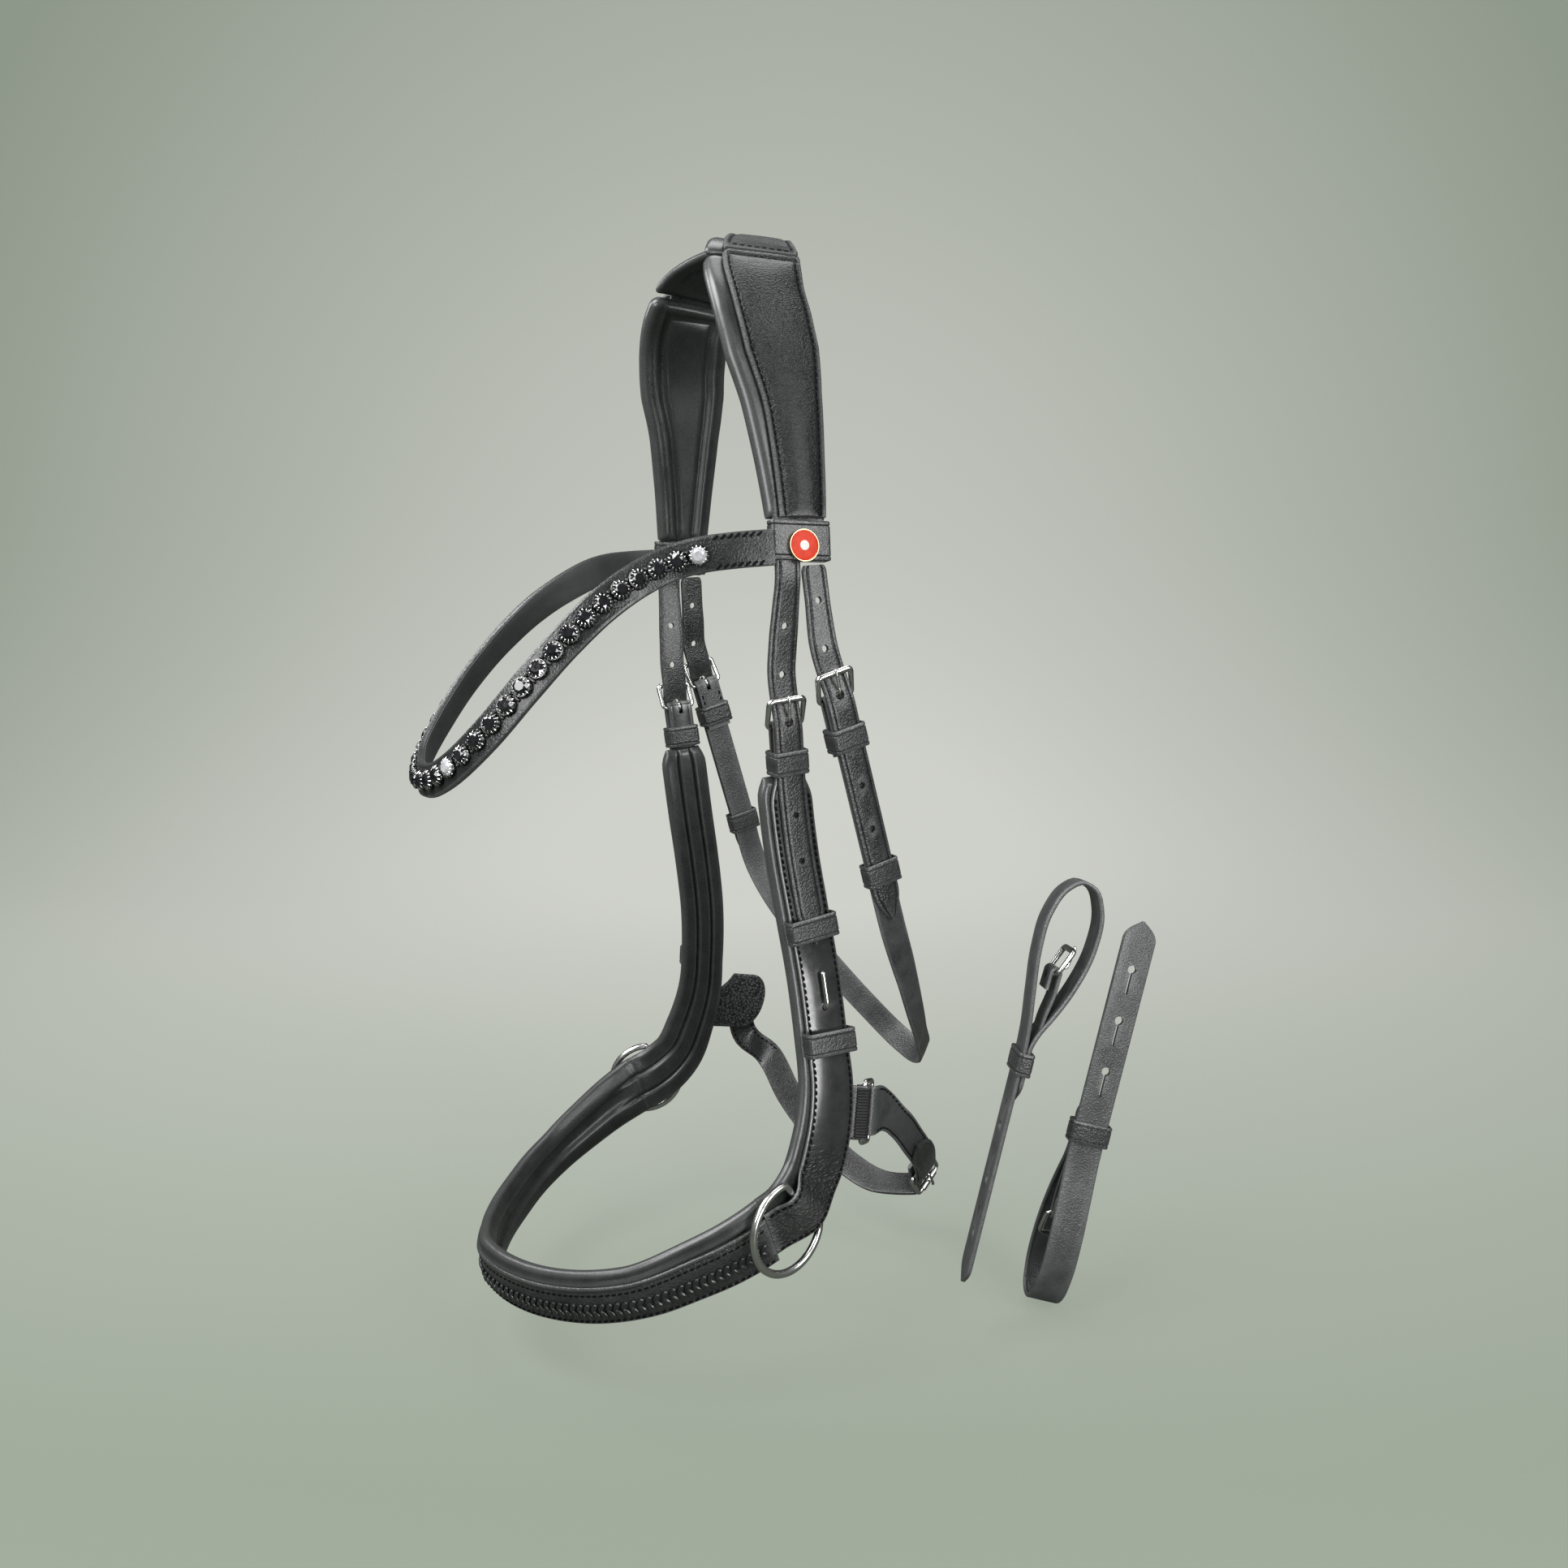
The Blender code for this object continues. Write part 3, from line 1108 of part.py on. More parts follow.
def bit_strap(suffix, ends, face):
    """A loose strap: keyholes in the tail, a loop for the bit ring, a buckle inside the loop and a runner."""
    foot, top = Vector(ends[0]), Vector(ends[1])
    up = (top - foot).normalized()
    out = Vector(face)
    out = (out - up * out.dot(up)).normalized()
    side = out.cross(up)
    half = BIT_WIDTH / 2

    def at(u, w):
        return foot + up * u + out * w

    gap = BIT_THICK + CLEARANCE
    points = [(BIT_LENGTH, 0.0), (0.175, 0.0), (0.125, 0.0)] + list(BIT_LOOP_ROUTE)
    points += [(BIT_RUNNER_AT + step, -gap) for step in (-0.009, 0.0, 0.012, 0.022)]
    route = Route([at(u, w) for u, w in points], lambda p: out)
    stations = []
    for s, width in reversed(tip(0.0, half)):
        stations.append((route.point(-s), side, width))
    for s in route.run(TIP_LENGTH, route.length - TIP_LENGTH)[1:-1]:
        stations.append((route.point(s), side, half))
    for s, width in tip(route.length, half):
        stations.append((route.point(s), side, width))
    obj = strap(f"bit_strap{suffix}", stations, BIT_THICK)
    holes = [(cylinder_shape(KEYHOLE_DIAMETER / 2, 0.008), frame_matrix(at(u, 0.0), side, out, up)
              @ Matrix.Rotation(math.radians(90), 4, "X")) for u in KEYHOLES_AT]
    slits = [(box_shape(KEYHOLE_SLIT_WIDTH, 0.008, KEYHOLE_SLIT),
              frame_matrix(at(u - KEYHOLE_SLIT / 2, 0.0), side, out, up)) for u in KEYHOLES_AT]
    boolean(obj, cutter(f"bit_keyholes{suffix}", holes), "DIFFERENCE")
    boolean(obj, cutter(f"bit_slits{suffix}", slits), "DIFFERENCE")

    low, high = -gap - BIT_THICK / 2 - KEEPER_PLAY, BIT_THICK / 2 + KEEPER_PLAY
    inner_width, inner_height = 2 * (half + KEEPER_PLAY), high - low
    inner = rectangle(inner_width, inner_height)
    outer = rounded_box(inner_width + 2 * KEEPER_WALL, inner_height + 2 * KEEPER_WALL, 0.002, 1)
    matrix = frame_matrix(at(BIT_RUNNER_AT, (low + high) / 2), side, out, up)
    runner = plate(f"bit_runner{suffix}", (outer, inner), KEEPER_HEIGHT, matrix, LEATHER)
    set_origin(runner, matrix.translation)

    lead = [at(u, w) for u, w in BIT_CHAPE_ROUTE]
    chape_route = Route(lead, lambda p: -out)
    stations = fold_stations(chape_route, BILLET_WIDTH / 2, BIT_CHAPE_LEG)
    stations += chape_route.stations(chape_route.run(0.0, chape_route.length)[1:], FOLD_MID, BILLET_WIDTH / 2)
    chape = strap(f"bit_chape{suffix}", stations, STRIP_THICK)
    boolean(chape, cutter(f"bit_chape_slot{suffix}", chape_slot(chape_route)), "DIFFERENCE")
    join(obj, [bake(chape)])
    buckle("bit", suffix, chape_route, BILLET_WIDTH)


crown_pieces()
headpiece()
throat_billet()
browband()
cheek()
noseband()
throatlatch()
chin_strap()
bit_strap("_left", BIT_LEFT_ENDS, BIT_LEFT_FACE)
bit_strap("_right", BIT_RIGHT_ENDS, BIT_RIGHT_FACE)
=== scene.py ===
"""Looks of the snaffle bridle: leather, padding, stitching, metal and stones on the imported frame."""

import json
import math

import bmesh
import bpy
import numpy as np
from mathutils import Matrix, Vector


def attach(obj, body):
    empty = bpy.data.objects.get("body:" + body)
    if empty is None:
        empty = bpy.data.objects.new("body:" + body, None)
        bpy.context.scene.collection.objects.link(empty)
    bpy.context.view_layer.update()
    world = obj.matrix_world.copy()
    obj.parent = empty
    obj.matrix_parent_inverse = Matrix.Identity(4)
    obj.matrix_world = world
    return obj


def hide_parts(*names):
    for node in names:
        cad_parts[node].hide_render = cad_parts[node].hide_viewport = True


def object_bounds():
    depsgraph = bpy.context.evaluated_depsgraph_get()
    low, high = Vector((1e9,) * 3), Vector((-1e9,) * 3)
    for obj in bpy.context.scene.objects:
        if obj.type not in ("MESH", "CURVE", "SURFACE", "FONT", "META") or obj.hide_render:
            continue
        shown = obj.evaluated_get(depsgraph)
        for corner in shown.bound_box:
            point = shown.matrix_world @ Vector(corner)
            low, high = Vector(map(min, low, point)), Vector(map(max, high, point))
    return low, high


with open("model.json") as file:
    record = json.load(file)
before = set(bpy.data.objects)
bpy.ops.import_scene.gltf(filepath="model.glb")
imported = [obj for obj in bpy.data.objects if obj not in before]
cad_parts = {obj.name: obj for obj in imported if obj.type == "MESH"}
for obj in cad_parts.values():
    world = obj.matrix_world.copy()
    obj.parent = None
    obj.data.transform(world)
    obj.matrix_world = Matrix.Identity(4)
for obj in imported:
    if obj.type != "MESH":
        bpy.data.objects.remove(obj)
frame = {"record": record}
cad_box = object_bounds()
BODY_OF = {node: body for body, nodes in frame["record"]["behaviour"]["bodies"].items() for node in nodes}

# Sizes shared with the CAD source, metres
CLEARANCE = 0.0003
KEEPER_PLAY = 0.0005
FRAME_PLAY = 0.0006
TONGUE_PLAY = 0.0002
BILLET_WIDTH = 0.016
BILLET_ROOT_WIDTH = 0.0143
BILLET_THICK = 0.0024
STRIP_THICK = 0.002
HOLE_PITCH = 0.025
FOLD_LEG = 0.026
BAR_RADIUS = 0.0012
SIDE_RADIUS = 0.0014
FRONT_RADIUS = 0.0017
TONGUE_RADIUS = 0.0009
BUCKLE_REACH = 0.0145
BUCKLE_RISE = 0.0052
KEEPER_WALL = 0.0016
KEEPER_HEIGHT = 0.013
RING_RADIUS = 0.0234
RING_ASIDE = -0.002
RING_SEAT = 0.0008
RING_WIRE = 0.0021
RING_SETBACK = 0.014
RING_SWELL = 0.017
HOOK_WIRE = 0.0015
HOOK_LENGTH = 0.019
HOOK_FOOT = 0.009
HOOK_STAND = 0.0026
LINK_WIRE = 0.0014
LINK_DEPTH = 0.011
ROLLER_WALL = 0.0010
CONCHO_DIAMETER = 0.0165
CONCHO_DROP = 0.003
CROWN_PAD_DEPTH = 0.0082
POLL_PAD_DEPTH = 0.0035
CROWN_COVER_THICK = 0.0022
CROWN_PUFF = 0.0022
POLL_PUFF = 0.0004
POLL_HALF_LENGTH = 0.047
CROWN_SEAM = 0.0014
CROWN_FOOT_WIDTH = 0.033
CROWN_HALF_WIDTHS = (
    (0.0, 0.0185), (0.030, 0.0225), (0.047, 0.0262), (0.060, 0.0270), (0.085, 0.0272), (0.108, 0.0265),
    (0.132, 0.0225), (0.165, 0.0190),
)
COVER_INSET = 0.0035
COVER_SHIFT = 0.0015
COVER_DRAW = 0.0018
DRAW_UNTIL = 0.14
LOOP_GAP = 0.002
COVER_SEAT = 0.0008
SPLIT_AT = 0.206
SPLIT_BELOW = 0.0107
BROWBAND_WIDTH = 0.018
BROWBAND_THICK = 0.0036
LOOP_HEIGHT = 0.020
LOOP_PLAY = 0.0009
STONE_DIAMETER = 0.0102
STONE_HEIGHT = 0.0036
STONE_PITCH = 0.0112
STONES_START = 0.036
STONE_SEAT = 0.0007
CHEEK_STRIP_WIDTH = 0.0245
FLARE_FROM = 0.027
FLARE_TO = 0.037
BEND_FROM = 0.18
BEND_TO = 0.24
CORNER_STRIP_WIDTH = 0.028
CHEEK_PAD_WIDTH = 0.030
CHEEK_PAD_DEPTH = 0.0075
CHEEK_PAD_SHIFT = -0.0022
CORNER_PAD_WIDTH = 0.039
NOSE_PAD_WIDTH = 0.030
NOSE_PAD_SHIFT = 0.0032
CORNER_STRAP_WIDTH = 0.030
CORNER_STRAP_SHIFT = 0.0032
NOSE_STRAP_WIDTH = 0.0235
NOSE_STRAP_SHIFT = 0.0062
NOSE_STRAP_THICK = 0.0024
NOSE_TAPER = 0.075
LACING_WIDTH = 0.008
LACING_THICK = 0.0016
LACING_SHIFT = 0.0020
LACING_INSET = 0.006
UPPER_KEEPER_AT = 0.019
LOWER_KEEPER_AT = 0.111
BILLET_TIP_AT = 0.1195
HOOK_AT = 0.155
BIT_KEEPER_AT = 0.174
BIT_KEEPER_STAND = 0.0052
CHIN_TAB_AT = 0.212
RING_AT = 0.263
STRIP_PAST_RING = 0.022
THROAT_KEEPER_AT = 0.021
THROAT_RUNNER_AT = 0.098
THROAT_TIP_AT = 0.126
CHIN_WIDTH = 0.018
CHIN_TAB_HEIGHT = 0.029
CHIN_TAB_THICK = 0.0018
CHIN_POCKET_PLAY = 0.0006
CHIN_TIP_AT = 0.048
CHIN_FOLD_LEG = 0.014
CHIN_TAB_REACH = 0.0215
FAR_TAB_REACH = 0.049
FAR_TAB_HEIGHT = 0.041
TAB_TONGUE = 0.004
FAR_TAB_NECK = 0.0165
LINK_LEAN = 0.65
BIT_WIDTH = 0.020
BIT_LENGTH = 0.228
BIT_THICK = 0.0024
KEYHOLE_DIAMETER = 0.005
KEYHOLE_SLIT = 0.015
KEYHOLE_SLIT_WIDTH = 0.0014
KEYHOLES_AT = (0.137, 0.168, 0.199)
BIT_RUNNER_AT = 0.099
BIT_CHAPE_LEG = 0.010
CHORD = 0.019
CROWN_CHORD = 0.0125

CROWN_ROUTE = (
    (0.000, 0.002, 0.0035), (0.020, -0.003, 0.0020), (0.0385, -0.012, -0.0072), (0.0508, -0.016, -0.0240),
    (0.0615, -0.015, -0.046), (0.0705, -0.011, -0.080), (0.078, -0.009, -0.115), (0.084, -0.008, -0.150),
    (0.0865, -0.008, -0.176),
)
BROWBAND_ROUTE = (
    (0.0888, -0.0242, -0.1632), (0.084, -0.043, -0.165), (0.077, -0.057, -0.167), (0.070, -0.071, -0.171),
    (0.067, -0.087, -0.179), (0.068, -0.105, -0.191), (0.069, -0.124, -0.208), (0.067, -0.145, -0.231),
    (0.058, -0.163, -0.254), (0.040, -0.177, -0.272), (0.018, -0.183, -0.280), (0.000, -0.185, -0.281),
)
BAND_ROUTE = (
    (0.078, -0.013, -0.254), (0.076, -0.010, -0.283), (0.076, -0.005, -0.323), (0.078, 0.000, -0.354),
    (0.082, 0.005, -0.390), (0.088, 0.007, -0.425), (0.094, 0.007, -0.450), (0.099, 0.002, -0.475),
    (0.102, -0.007, -0.497), (0.105, -0.022, -0.511), (0.106, -0.038, -0.518), (0.104, -0.057, -0.525),
    (0.098, -0.077, -0.532), (0.090, -0.097, -0.539), (0.077, -0.116, -0.545), (0.059, -0.133, -0.550),
    (0.036, -0.149, -0.553), (0.015, -0.158, -0.554), (0.000, -0.161, -0.554),
)
CHEEK_BILLET_ROUTE = ((0.0845, -0.0154, -0.193), (0.0817, -0.0158, -0.214))
THROAT_PIVOT = (0.0867, 0.0002, -0.1785)
THROAT_BILLET_ROUTE = ((0.0879, 0.0011, -0.189), (0.0891, 0.0020, -0.200))
THROAT_ROUTE = (
    (0.090, 0.011, -0.240), (0.089, 0.0235, -0.283), (0.088, 0.036, -0.326), (0.087, 0.0475, -0.3655),
    (0.078, 0.061, -0.394), (0.058, 0.080, -0.424), (0.034, 0.101, -0.455), (0.013, 0.116, -0.475),
    (0.000, 0.119, -0.479),
)
CHIN_NEAR_ROUTE = (
    (0.034, 0.105, -0.544), (0.046, 0.096, -0.528), (0.060, 0.0795, -0.508), (0.074, 0.0605, -0.487),
)
CHIN_FAR_ROUTE = (
    (-0.002, 0.094, -0.567), (-0.022, 0.084, -0.562), (-0.045, 0.073, -0.548), (-0.067, 0.0615, -0.526),
    (-0.0835, 0.0535, -0.502),
)
JAW_CENTRE = (0.0, 0.025, -0.455)
BIT_LOOP_ROUTE = (
    (0.107, 0.0), (0.092, 0.0), (0.080, 0.0006), (0.060, 0.003), (0.036, 0.0055), (0.014, 0.0045),
    (-0.0015, -0.002), (-0.0065, -0.0085), (-0.0045, -0.0165), (0.006, -0.0225), (0.028, -0.024),
    (0.052, -0.0185), (0.072, -0.0100), (0.081, -0.0054),
)
BIT_CHAPE_ROUTE = ((0.046, -0.0068), (0.059, -0.0062), (0.071, -0.0042), (0.080, -0.0036))
BIT_LEFT_ENDS = ((0.120, 0.139, -0.348), (0.120, 0.080, -0.562))
BIT_RIGHT_ENDS = ((0.118, 0.141, -0.594), (0.120, 0.201, -0.374))
BIT_LEFT_FACE = (-0.437, -0.900, 0.0)
BIT_RIGHT_FACE = (0.891, -0.433, 0.0)

CROWN_END = SPLIT_AT - LOOP_HEIGHT / 2 - LOOP_GAP
FOLD_MID = BAR_RADIUS + CLEARANCE + STRIP_THICK / 2
STRIP_IN = FOLD_MID - STRIP_THICK / 2
STRIP_OUT = FOLD_MID + STRIP_THICK / 2
PAD_FACE = STRIP_IN - CLEARANCE
EYE_RADIUS = BAR_RADIUS + TONGUE_PLAY + TONGUE_RADIUS
BILLET_IN = max(STRIP_OUT, EYE_RADIUS + TONGUE_RADIUS) + CLEARANCE
BILLET_MID = BILLET_IN + BILLET_THICK / 2
BILLET_OUT = BILLET_IN + BILLET_THICK
CROWN_FACE = BILLET_THICK / 2 + COVER_SEAT
HALF = BILLET_WIDTH / 2
ROOT = BILLET_ROOT_WIDTH / 2
SLEEVE = TONGUE_PLAY + ROLLER_WALL
ROUND_FOLD = -STRIP_OUT - CLEARANCE
OVER_BILLET = BILLET_OUT + CLEARANCE

# Sizes of the looks alone
STEP = 0.0035
TIP_LENGTH = 0.020
TIP_FINE = 0.0012
CREASE_DEPTH = 0.0005
CREASE_INSET = 0.0023
STITCH_INSET = 0.0022
SEWN_INSET = 0.0033
EDGE_ROUND = 0.0009
HOLE_RADIUS = 0.0019
TONGUE_HOLE_RADIUS = 0.0026
HOLES_ABOVE = 2
HOLES_BELOW = 3
CLAWS = 14
SEAM_LEAD = 0.003
SEAM_SLANT = 0.12
SEAM_FADE = 0.045
PALE_STEP = 15
BUCKLE_CORNER = 0.0024
LINK_CORNER = 0.0022
GRAIN_HEIGHT = 0.0008
FOLD_HEIGHT = 0.003
FLAT_DOME = 0.0004
FULL_DOME = 0.0012
BILLET_DOME = 0.0003
SLIGHT_DOME = 0.0002
SEW_STEP = 0.002
PAD_ROUND = 0.005
SEAM_SQUEEZE = 0.88
ELASTICS = 17
ELASTIC_PITCH = 0.00155
ELASTIC_RADIUS = 0.0011
LACE_PITCH = 0.0042
CHIN_POINT = 0.016
BIT_POINT = 0.012
SHARP = 42.0
WIRE_SHARP = 60.0
WIRE_CAP = ((0.35, 0.94), (0.7, 0.71), (0.95, 0.3))
PAD_SHARP = 70.0


# Materials
def shader_of(name):
    mat = bpy.data.materials.new(name)
    mat.use_nodes = True
    tree = mat.node_tree
    return mat, tree, tree.nodes["Principled BSDF"]


def feed(tree, item, inputs):
    """Sets each input of a node to a value, or links it to another node's output."""
    for key, source in inputs.items():
        if isinstance(source, bpy.types.NodeSocket):
            tree.links.new(source, item.inputs[key])
        else:
            item.inputs[key].default_value = source


def node(tree, kind, inputs=None, **settings):
    item = tree.nodes.new("ShaderNode" + kind)
    for key, setting in settings.items():
        setattr(item, key, setting)
    feed(tree, item, inputs or {})
    return item


def noise(tree, vector, scale, detail, rough=0.5):
    inputs = {"Vector": vector, "Scale": scale, "Detail": detail, "Roughness": rough}
    return node(tree, "TexNoise", inputs).outputs["Fac"]


def object_place(tree):
    return node(tree, "TexCoord").outputs["Object"]


def ramp(tree, source, low, high, start=0.3, end=0.7):
    item = node(tree, "ValToRGB", {"Fac": source})
    for stop, position, colour in zip(item.color_ramp.elements, (start, end), (low, high)):
        stop.position = position
        stop.color = (*colour, 1.0)
    return item.outputs["Color"]


def grey(level):
    return (level, level, level)


def leather(name, dark, light, rough, grain, depth, stretch=(1.0, 1.0, 1.0), edge_highlight=0.04, coat=0.0, zone=None, folds=0.0,
            shine=0.5, vary=0.08, spots=False):
    """Leather with grain, soft folds, cloudy colour, uneven gloss and a painted highlight that pales its edges and
    ridges; zone is where grain sets in.
    """
    mat, tree, shader = shader_of(name)
    place = object_place(tree)
    scaled = node(tree, "Mapping", {"Vector": place, "Scale": stretch}).outputs["Vector"]
    clouds = noise(tree, place, 85.0, 6.0, 0.65)
    cells = node(tree, "TexVoronoi", {"Vector": scaled, "Scale": grain}).outputs["Distance"]
    fine = noise(tree, scaled, grain * 0.55, 5.0, 0.62)
    both = node(tree, "Math", {0: cells, 1: fine}, operation="ADD").outputs["Value"]
    bump = node(tree, "Bump", {"Height": both, "Strength": depth, "Distance": GRAIN_HEIGHT})
    if zone:
        height = node(tree, "SeparateXYZ", {"Vector": place}).outputs["Z"]
        wide = noise(tree, scaled, 330.0, 4.0, 0.55)
        soft = node(tree, "Bump", {"Height": wide, "Distance": FOLD_HEIGHT})
        feed(tree, bump, {"Normal": soft.outputs["Normal"]})
        for most, target in ((depth, bump), (folds, soft)):
            share = node(tree, "MapRange", {"Value": height, "From Min": zone[0], "From Max": zone[1],
                                            "To Min": most * zone[2], "To Max": most})
            feed(tree, target, {"Strength": share.outputs["Result"]})
    colour = ramp(tree, cells if spots else clouds, dark, light)
    # painted highlight: pointy edges and crease ridges are made paler in the base colour
    edge = ramp(tree, node(tree, "NewGeometry").outputs["Pointiness"], grey(0.0), grey(edge_highlight), 0.505, 0.57)
    highlighted = node(tree, "Mix", {"Factor": 1.0, 6: colour, 7: edge}, data_type="RGBA", blend_type="ADD")
    feed(tree, shader, {
        "Base Color": highlighted.outputs[2], "Normal": bump.outputs["Normal"],
        "Roughness": ramp(tree, fine, grey(rough - vary), grey(rough + vary)), "Specular IOR Level": shine,
        "Sheen Weight": 0.1 * shine, "Sheen Roughness": 0.4, "Coat Weight": coat, "Coat Roughness": 0.22,
    })
    return mat


def hard(name, dark, light, rough, clouds_scale, bump_sizes, scratched, shader_inputs):
    """A hard surface of uneven colour and gloss, with a faint bump; scratched draws the bump out into lines."""
    mat, tree, shader = shader_of(name)
    place = object_place(tree)
    clouds = marks = noise(tree, place, clouds_scale, 3.0)
    if scratched:
        lines = node(tree, "Mapping", {"Vector": place, "Scale": (2600.0, 260.0, 700.0)}).outputs["Vector"]
        marks = noise(tree, lines, 1.0, 2.0)
    bump = node(tree, "Bump", {"Height": marks, "Strength": bump_sizes[0], "Distance": bump_sizes[1]})
    feed(tree, shader, {
        "Base Color": ramp(tree, clouds, dark, light), "Normal": bump.outputs["Normal"],
        "Roughness": ramp(tree, marks, grey(rough), grey(rough + 0.06)), **shader_inputs,
    })
    return mat


def metal(name, dark, light, rough):
    return hard(name, dark, light, rough, 160.0, (0.02, 0.0001), True, {"Metallic": 1.0})


def glossy(name, dark, light, rough, scale, coat, density=1.6):
    """Stone or enamel under a clear surface."""
    clear = {"Coat Weight": coat, "Coat Roughness": 0.03, "IOR": density}
    return hard(name, dark, light, rough, scale, (0.03, 0.0003), False, clear)


SMOOTH = leather("bridle_leather", (0.010, 0.0107, 0.0107), (0.034, 0.036, 0.036), 0.29, 900.0, 0.3,
                 edge_highlight=0.06, coat=0.35)
# painted highlight: a paler copy of the black bridle leather, used for the throatlatch, the near chin strap and the bit
# straps
LIT_LEATHER = leather("lit_leather", (0.036, 0.039, 0.040), (0.082, 0.087, 0.088), 0.34, 1000.0, 0.25,
                edge_highlight=0.10, coat=0.25)
GRAINED = leather("grained_leather", (0.018, 0.0192, 0.0192), (0.048, 0.0515, 0.0515), 0.28, 640.0, 0.6,
                  edge_highlight=0.10, coat=0.2)
CREASED = leather("creased_leather", (0.010, 0.0105, 0.0105), (0.030, 0.032, 0.032), 0.24, 430.0, 0.9,
                  stretch=(1.0, 1.0, 1.8), edge_highlight=0.12, coat=0.6, zone=(-0.470, -0.505, 0.03), folds=0.5, vary=0.04)
# painted shade: a darker base than the other leathers, to offset the key lamp on the crown
WRINKLED = leather("wrinkled_leather", (0.006, 0.0065, 0.0065), (0.018, 0.0192, 0.0192), 0.29, 720.0, 0.6,
                   stretch=(1.0, 1.0, 2.0), edge_highlight=0.10, coat=0.1, zone=(0.0, -0.10, 0.5), folds=0.18, shine=0.36,
                   vary=0.05)
MATT = leather("matt_leather", (0.010, 0.011, 0.011), (0.022, 0.0235, 0.0235), 0.5, 900.0, 0.4, edge_highlight=0.08, shine=0.25)
# painted light and shade: pebble centres pale and the gaps between them dark in the colour, and the whole tab paler
# against the shade of the pads
PEBBLED = leather("pebbled_leather", (0.075, 0.080, 0.080), (0.010, 0.011, 0.011), 0.34, 560.0, 1.0, spots=True)
SOFT = leather("soft_lining", (0.016, 0.0178, 0.0174), (0.036, 0.0395, 0.0387), 0.30, 2200.0, 0.12, edge_highlight=0.07, coat=0.5)
LINED = leather("grey_lining", (0.040, 0.043, 0.042), (0.056, 0.060, 0.059), 0.5, 1800.0, 0.2, edge_highlight=0.03)
LACE = leather("lacing_leather", (0.012, 0.0127, 0.0127), (0.030, 0.032, 0.032), 0.24, 900.0, 0.2, edge_highlight=0.0, coat=0.6)
THREAD = leather("thread", grey(0.002), grey(0.005), 0.6, 3000.0, 0.3, edge_highlight=0.0, shine=0.12)
ELASTIC = leather("elastic", grey(0.008), grey(0.018), 0.5, 3000.0, 0.3, edge_highlight=0.0)
NICKEL = metal("nickel", (0.80, 0.80, 0.78), (0.90, 0.90, 0.88), 0.19)
GILT = metal("gilt", (0.62, 0.42, 0.24), (0.72, 0.52, 0.32), 0.24)
DARK_METAL = metal("dark_metal", grey(0.05), grey(0.12), 0.2)
DARK_STONE = glossy("dark_stone", (0.003, 0.003, 0.004), (0.014, 0.014, 0.018), 0.04, 500.0, 1.0)
PALE_STONE = glossy("pale_stone", (0.42, 0.43, 0.45), (0.62, 0.62, 0.64), 0.04, 500.0, 1.0)
RED = glossy("red_enamel", (0.62, 0.035, 0.012), (0.74, 0.055, 0.02), 0.35, 300.0, 0.05, 1.2)
WHITE = glossy("pale_enamel", (0.78, 0.76, 0.72), (0.86, 0.84, 0.81), 0.35, 300.0, 0.05, 1.2)


# Routes
def lengths(points):
    """Distance of each point along the line through them."""
    return np.concatenate([[0.0], np.cumsum(np.linalg.norm(np.diff(points, axis=0), axis=1))])


class Route:
    """The CAD source's line through its points, read from the smooth curve at the CAD's own lengths."""

    def __init__(self, points, outward, step=CHORD):
        self.knots = np.array([tuple(point) for point in points], dtype=float)
        self.chord = lengths(self.knots)
        self.slopes = np.gradient(self.knots, self.chord, axis=0)
        self.outward = outward
        spots = []
        for i in range(len(self.knots) - 1):
            span = self.chord[i + 1] - self.chord[i]
            count = math.ceil(span / step - 0.01)
            spots += [self.chord[i] + span * k / count for k in range(count)]
        spots.append(self.chord[-1])
        self.spots = np.array(spots)
        self.marks = lengths(np.array([self.curve(c)[0] for c in spots]))
        self.length = float(self.marks[-1])

    def curve(self, c):
        i = min(max(int(np.searchsorted(self.chord, c, side="right")) - 1, 0), len(self.knots) - 2)
        span = self.chord[i + 1] - self.chord[i]
        u = (c - self.chord[i]) / span
        a, b = self.knots[i], self.knots[i + 1]
        p, q = span * self.slopes[i], span * self.slopes[i + 1]
        place = (2*u**3 - 3*u**2 + 1)*a + (u**3 - 2*u**2 + u)*p + (3*u**2 - 2*u**3)*b + (u**3 - u**2)*q
        slope = (6*u**2 - 6*u)*a + (3*u**2 - 4*u + 1)*p + (6*u - 6*u**2)*b + (3*u**2 - 2*u)*q
        return place, slope

    def at(self, s):
        """Place, tangent, across and outward normal."""
        inside = min(max(s, 0.0), self.length)
        place, slope = self.curve(float(np.interp(inside, self.marks, self.spots)))
        along = Vector(slope).normalized()
        place = Vector(place)
        hint = Vector(self.outward(place))
        normal = (hint - along * hint.dot(along)).normalized()
        return place + along * (s - inside), along, normal.cross(along), normal

    def place(self, s, n, a=0.0):
        point, along, across, normal = self.at(s)
        return point + across * a + normal * n

    def matrix(self, s, n=0.0):
        """Local X across, Y outward, Z along."""
        point, along, across, normal = self.at(s)
        return frame_matrix(point + normal * n, across, normal, along)

    def run(self, start, end):
        inner = [m for m in self.marks if start + 0.0015 < m < end - 0.0015]
        return [start] + [float(m) for m in inner] + [end]


def frame_matrix(origin, x, y, z):
    rows = [[x[i], y[i], z[i], origin[i]] for i in range(3)]
    return Matrix(rows + [[0.0, 0.0, 0.0, 1.0]])


def value(thing, s):
    return thing(s) if callable(thing) else thing


def table(*pairs):
    places, values = zip(*pairs)
    return lambda s: float(np.interp(s, places, values))


def eased(*pairs):
    """Like table, with rounded corners."""
    rough = table(*pairs)
    return lambda s: sum(rough(s + k * 0.0015) for k in range(-3, 4)) / 7


def spread(start, end, step=STEP):
    count = max(2, math.ceil((end - start) / step))
    return [start + (end - start) * k / count for k in range(count + 1)]


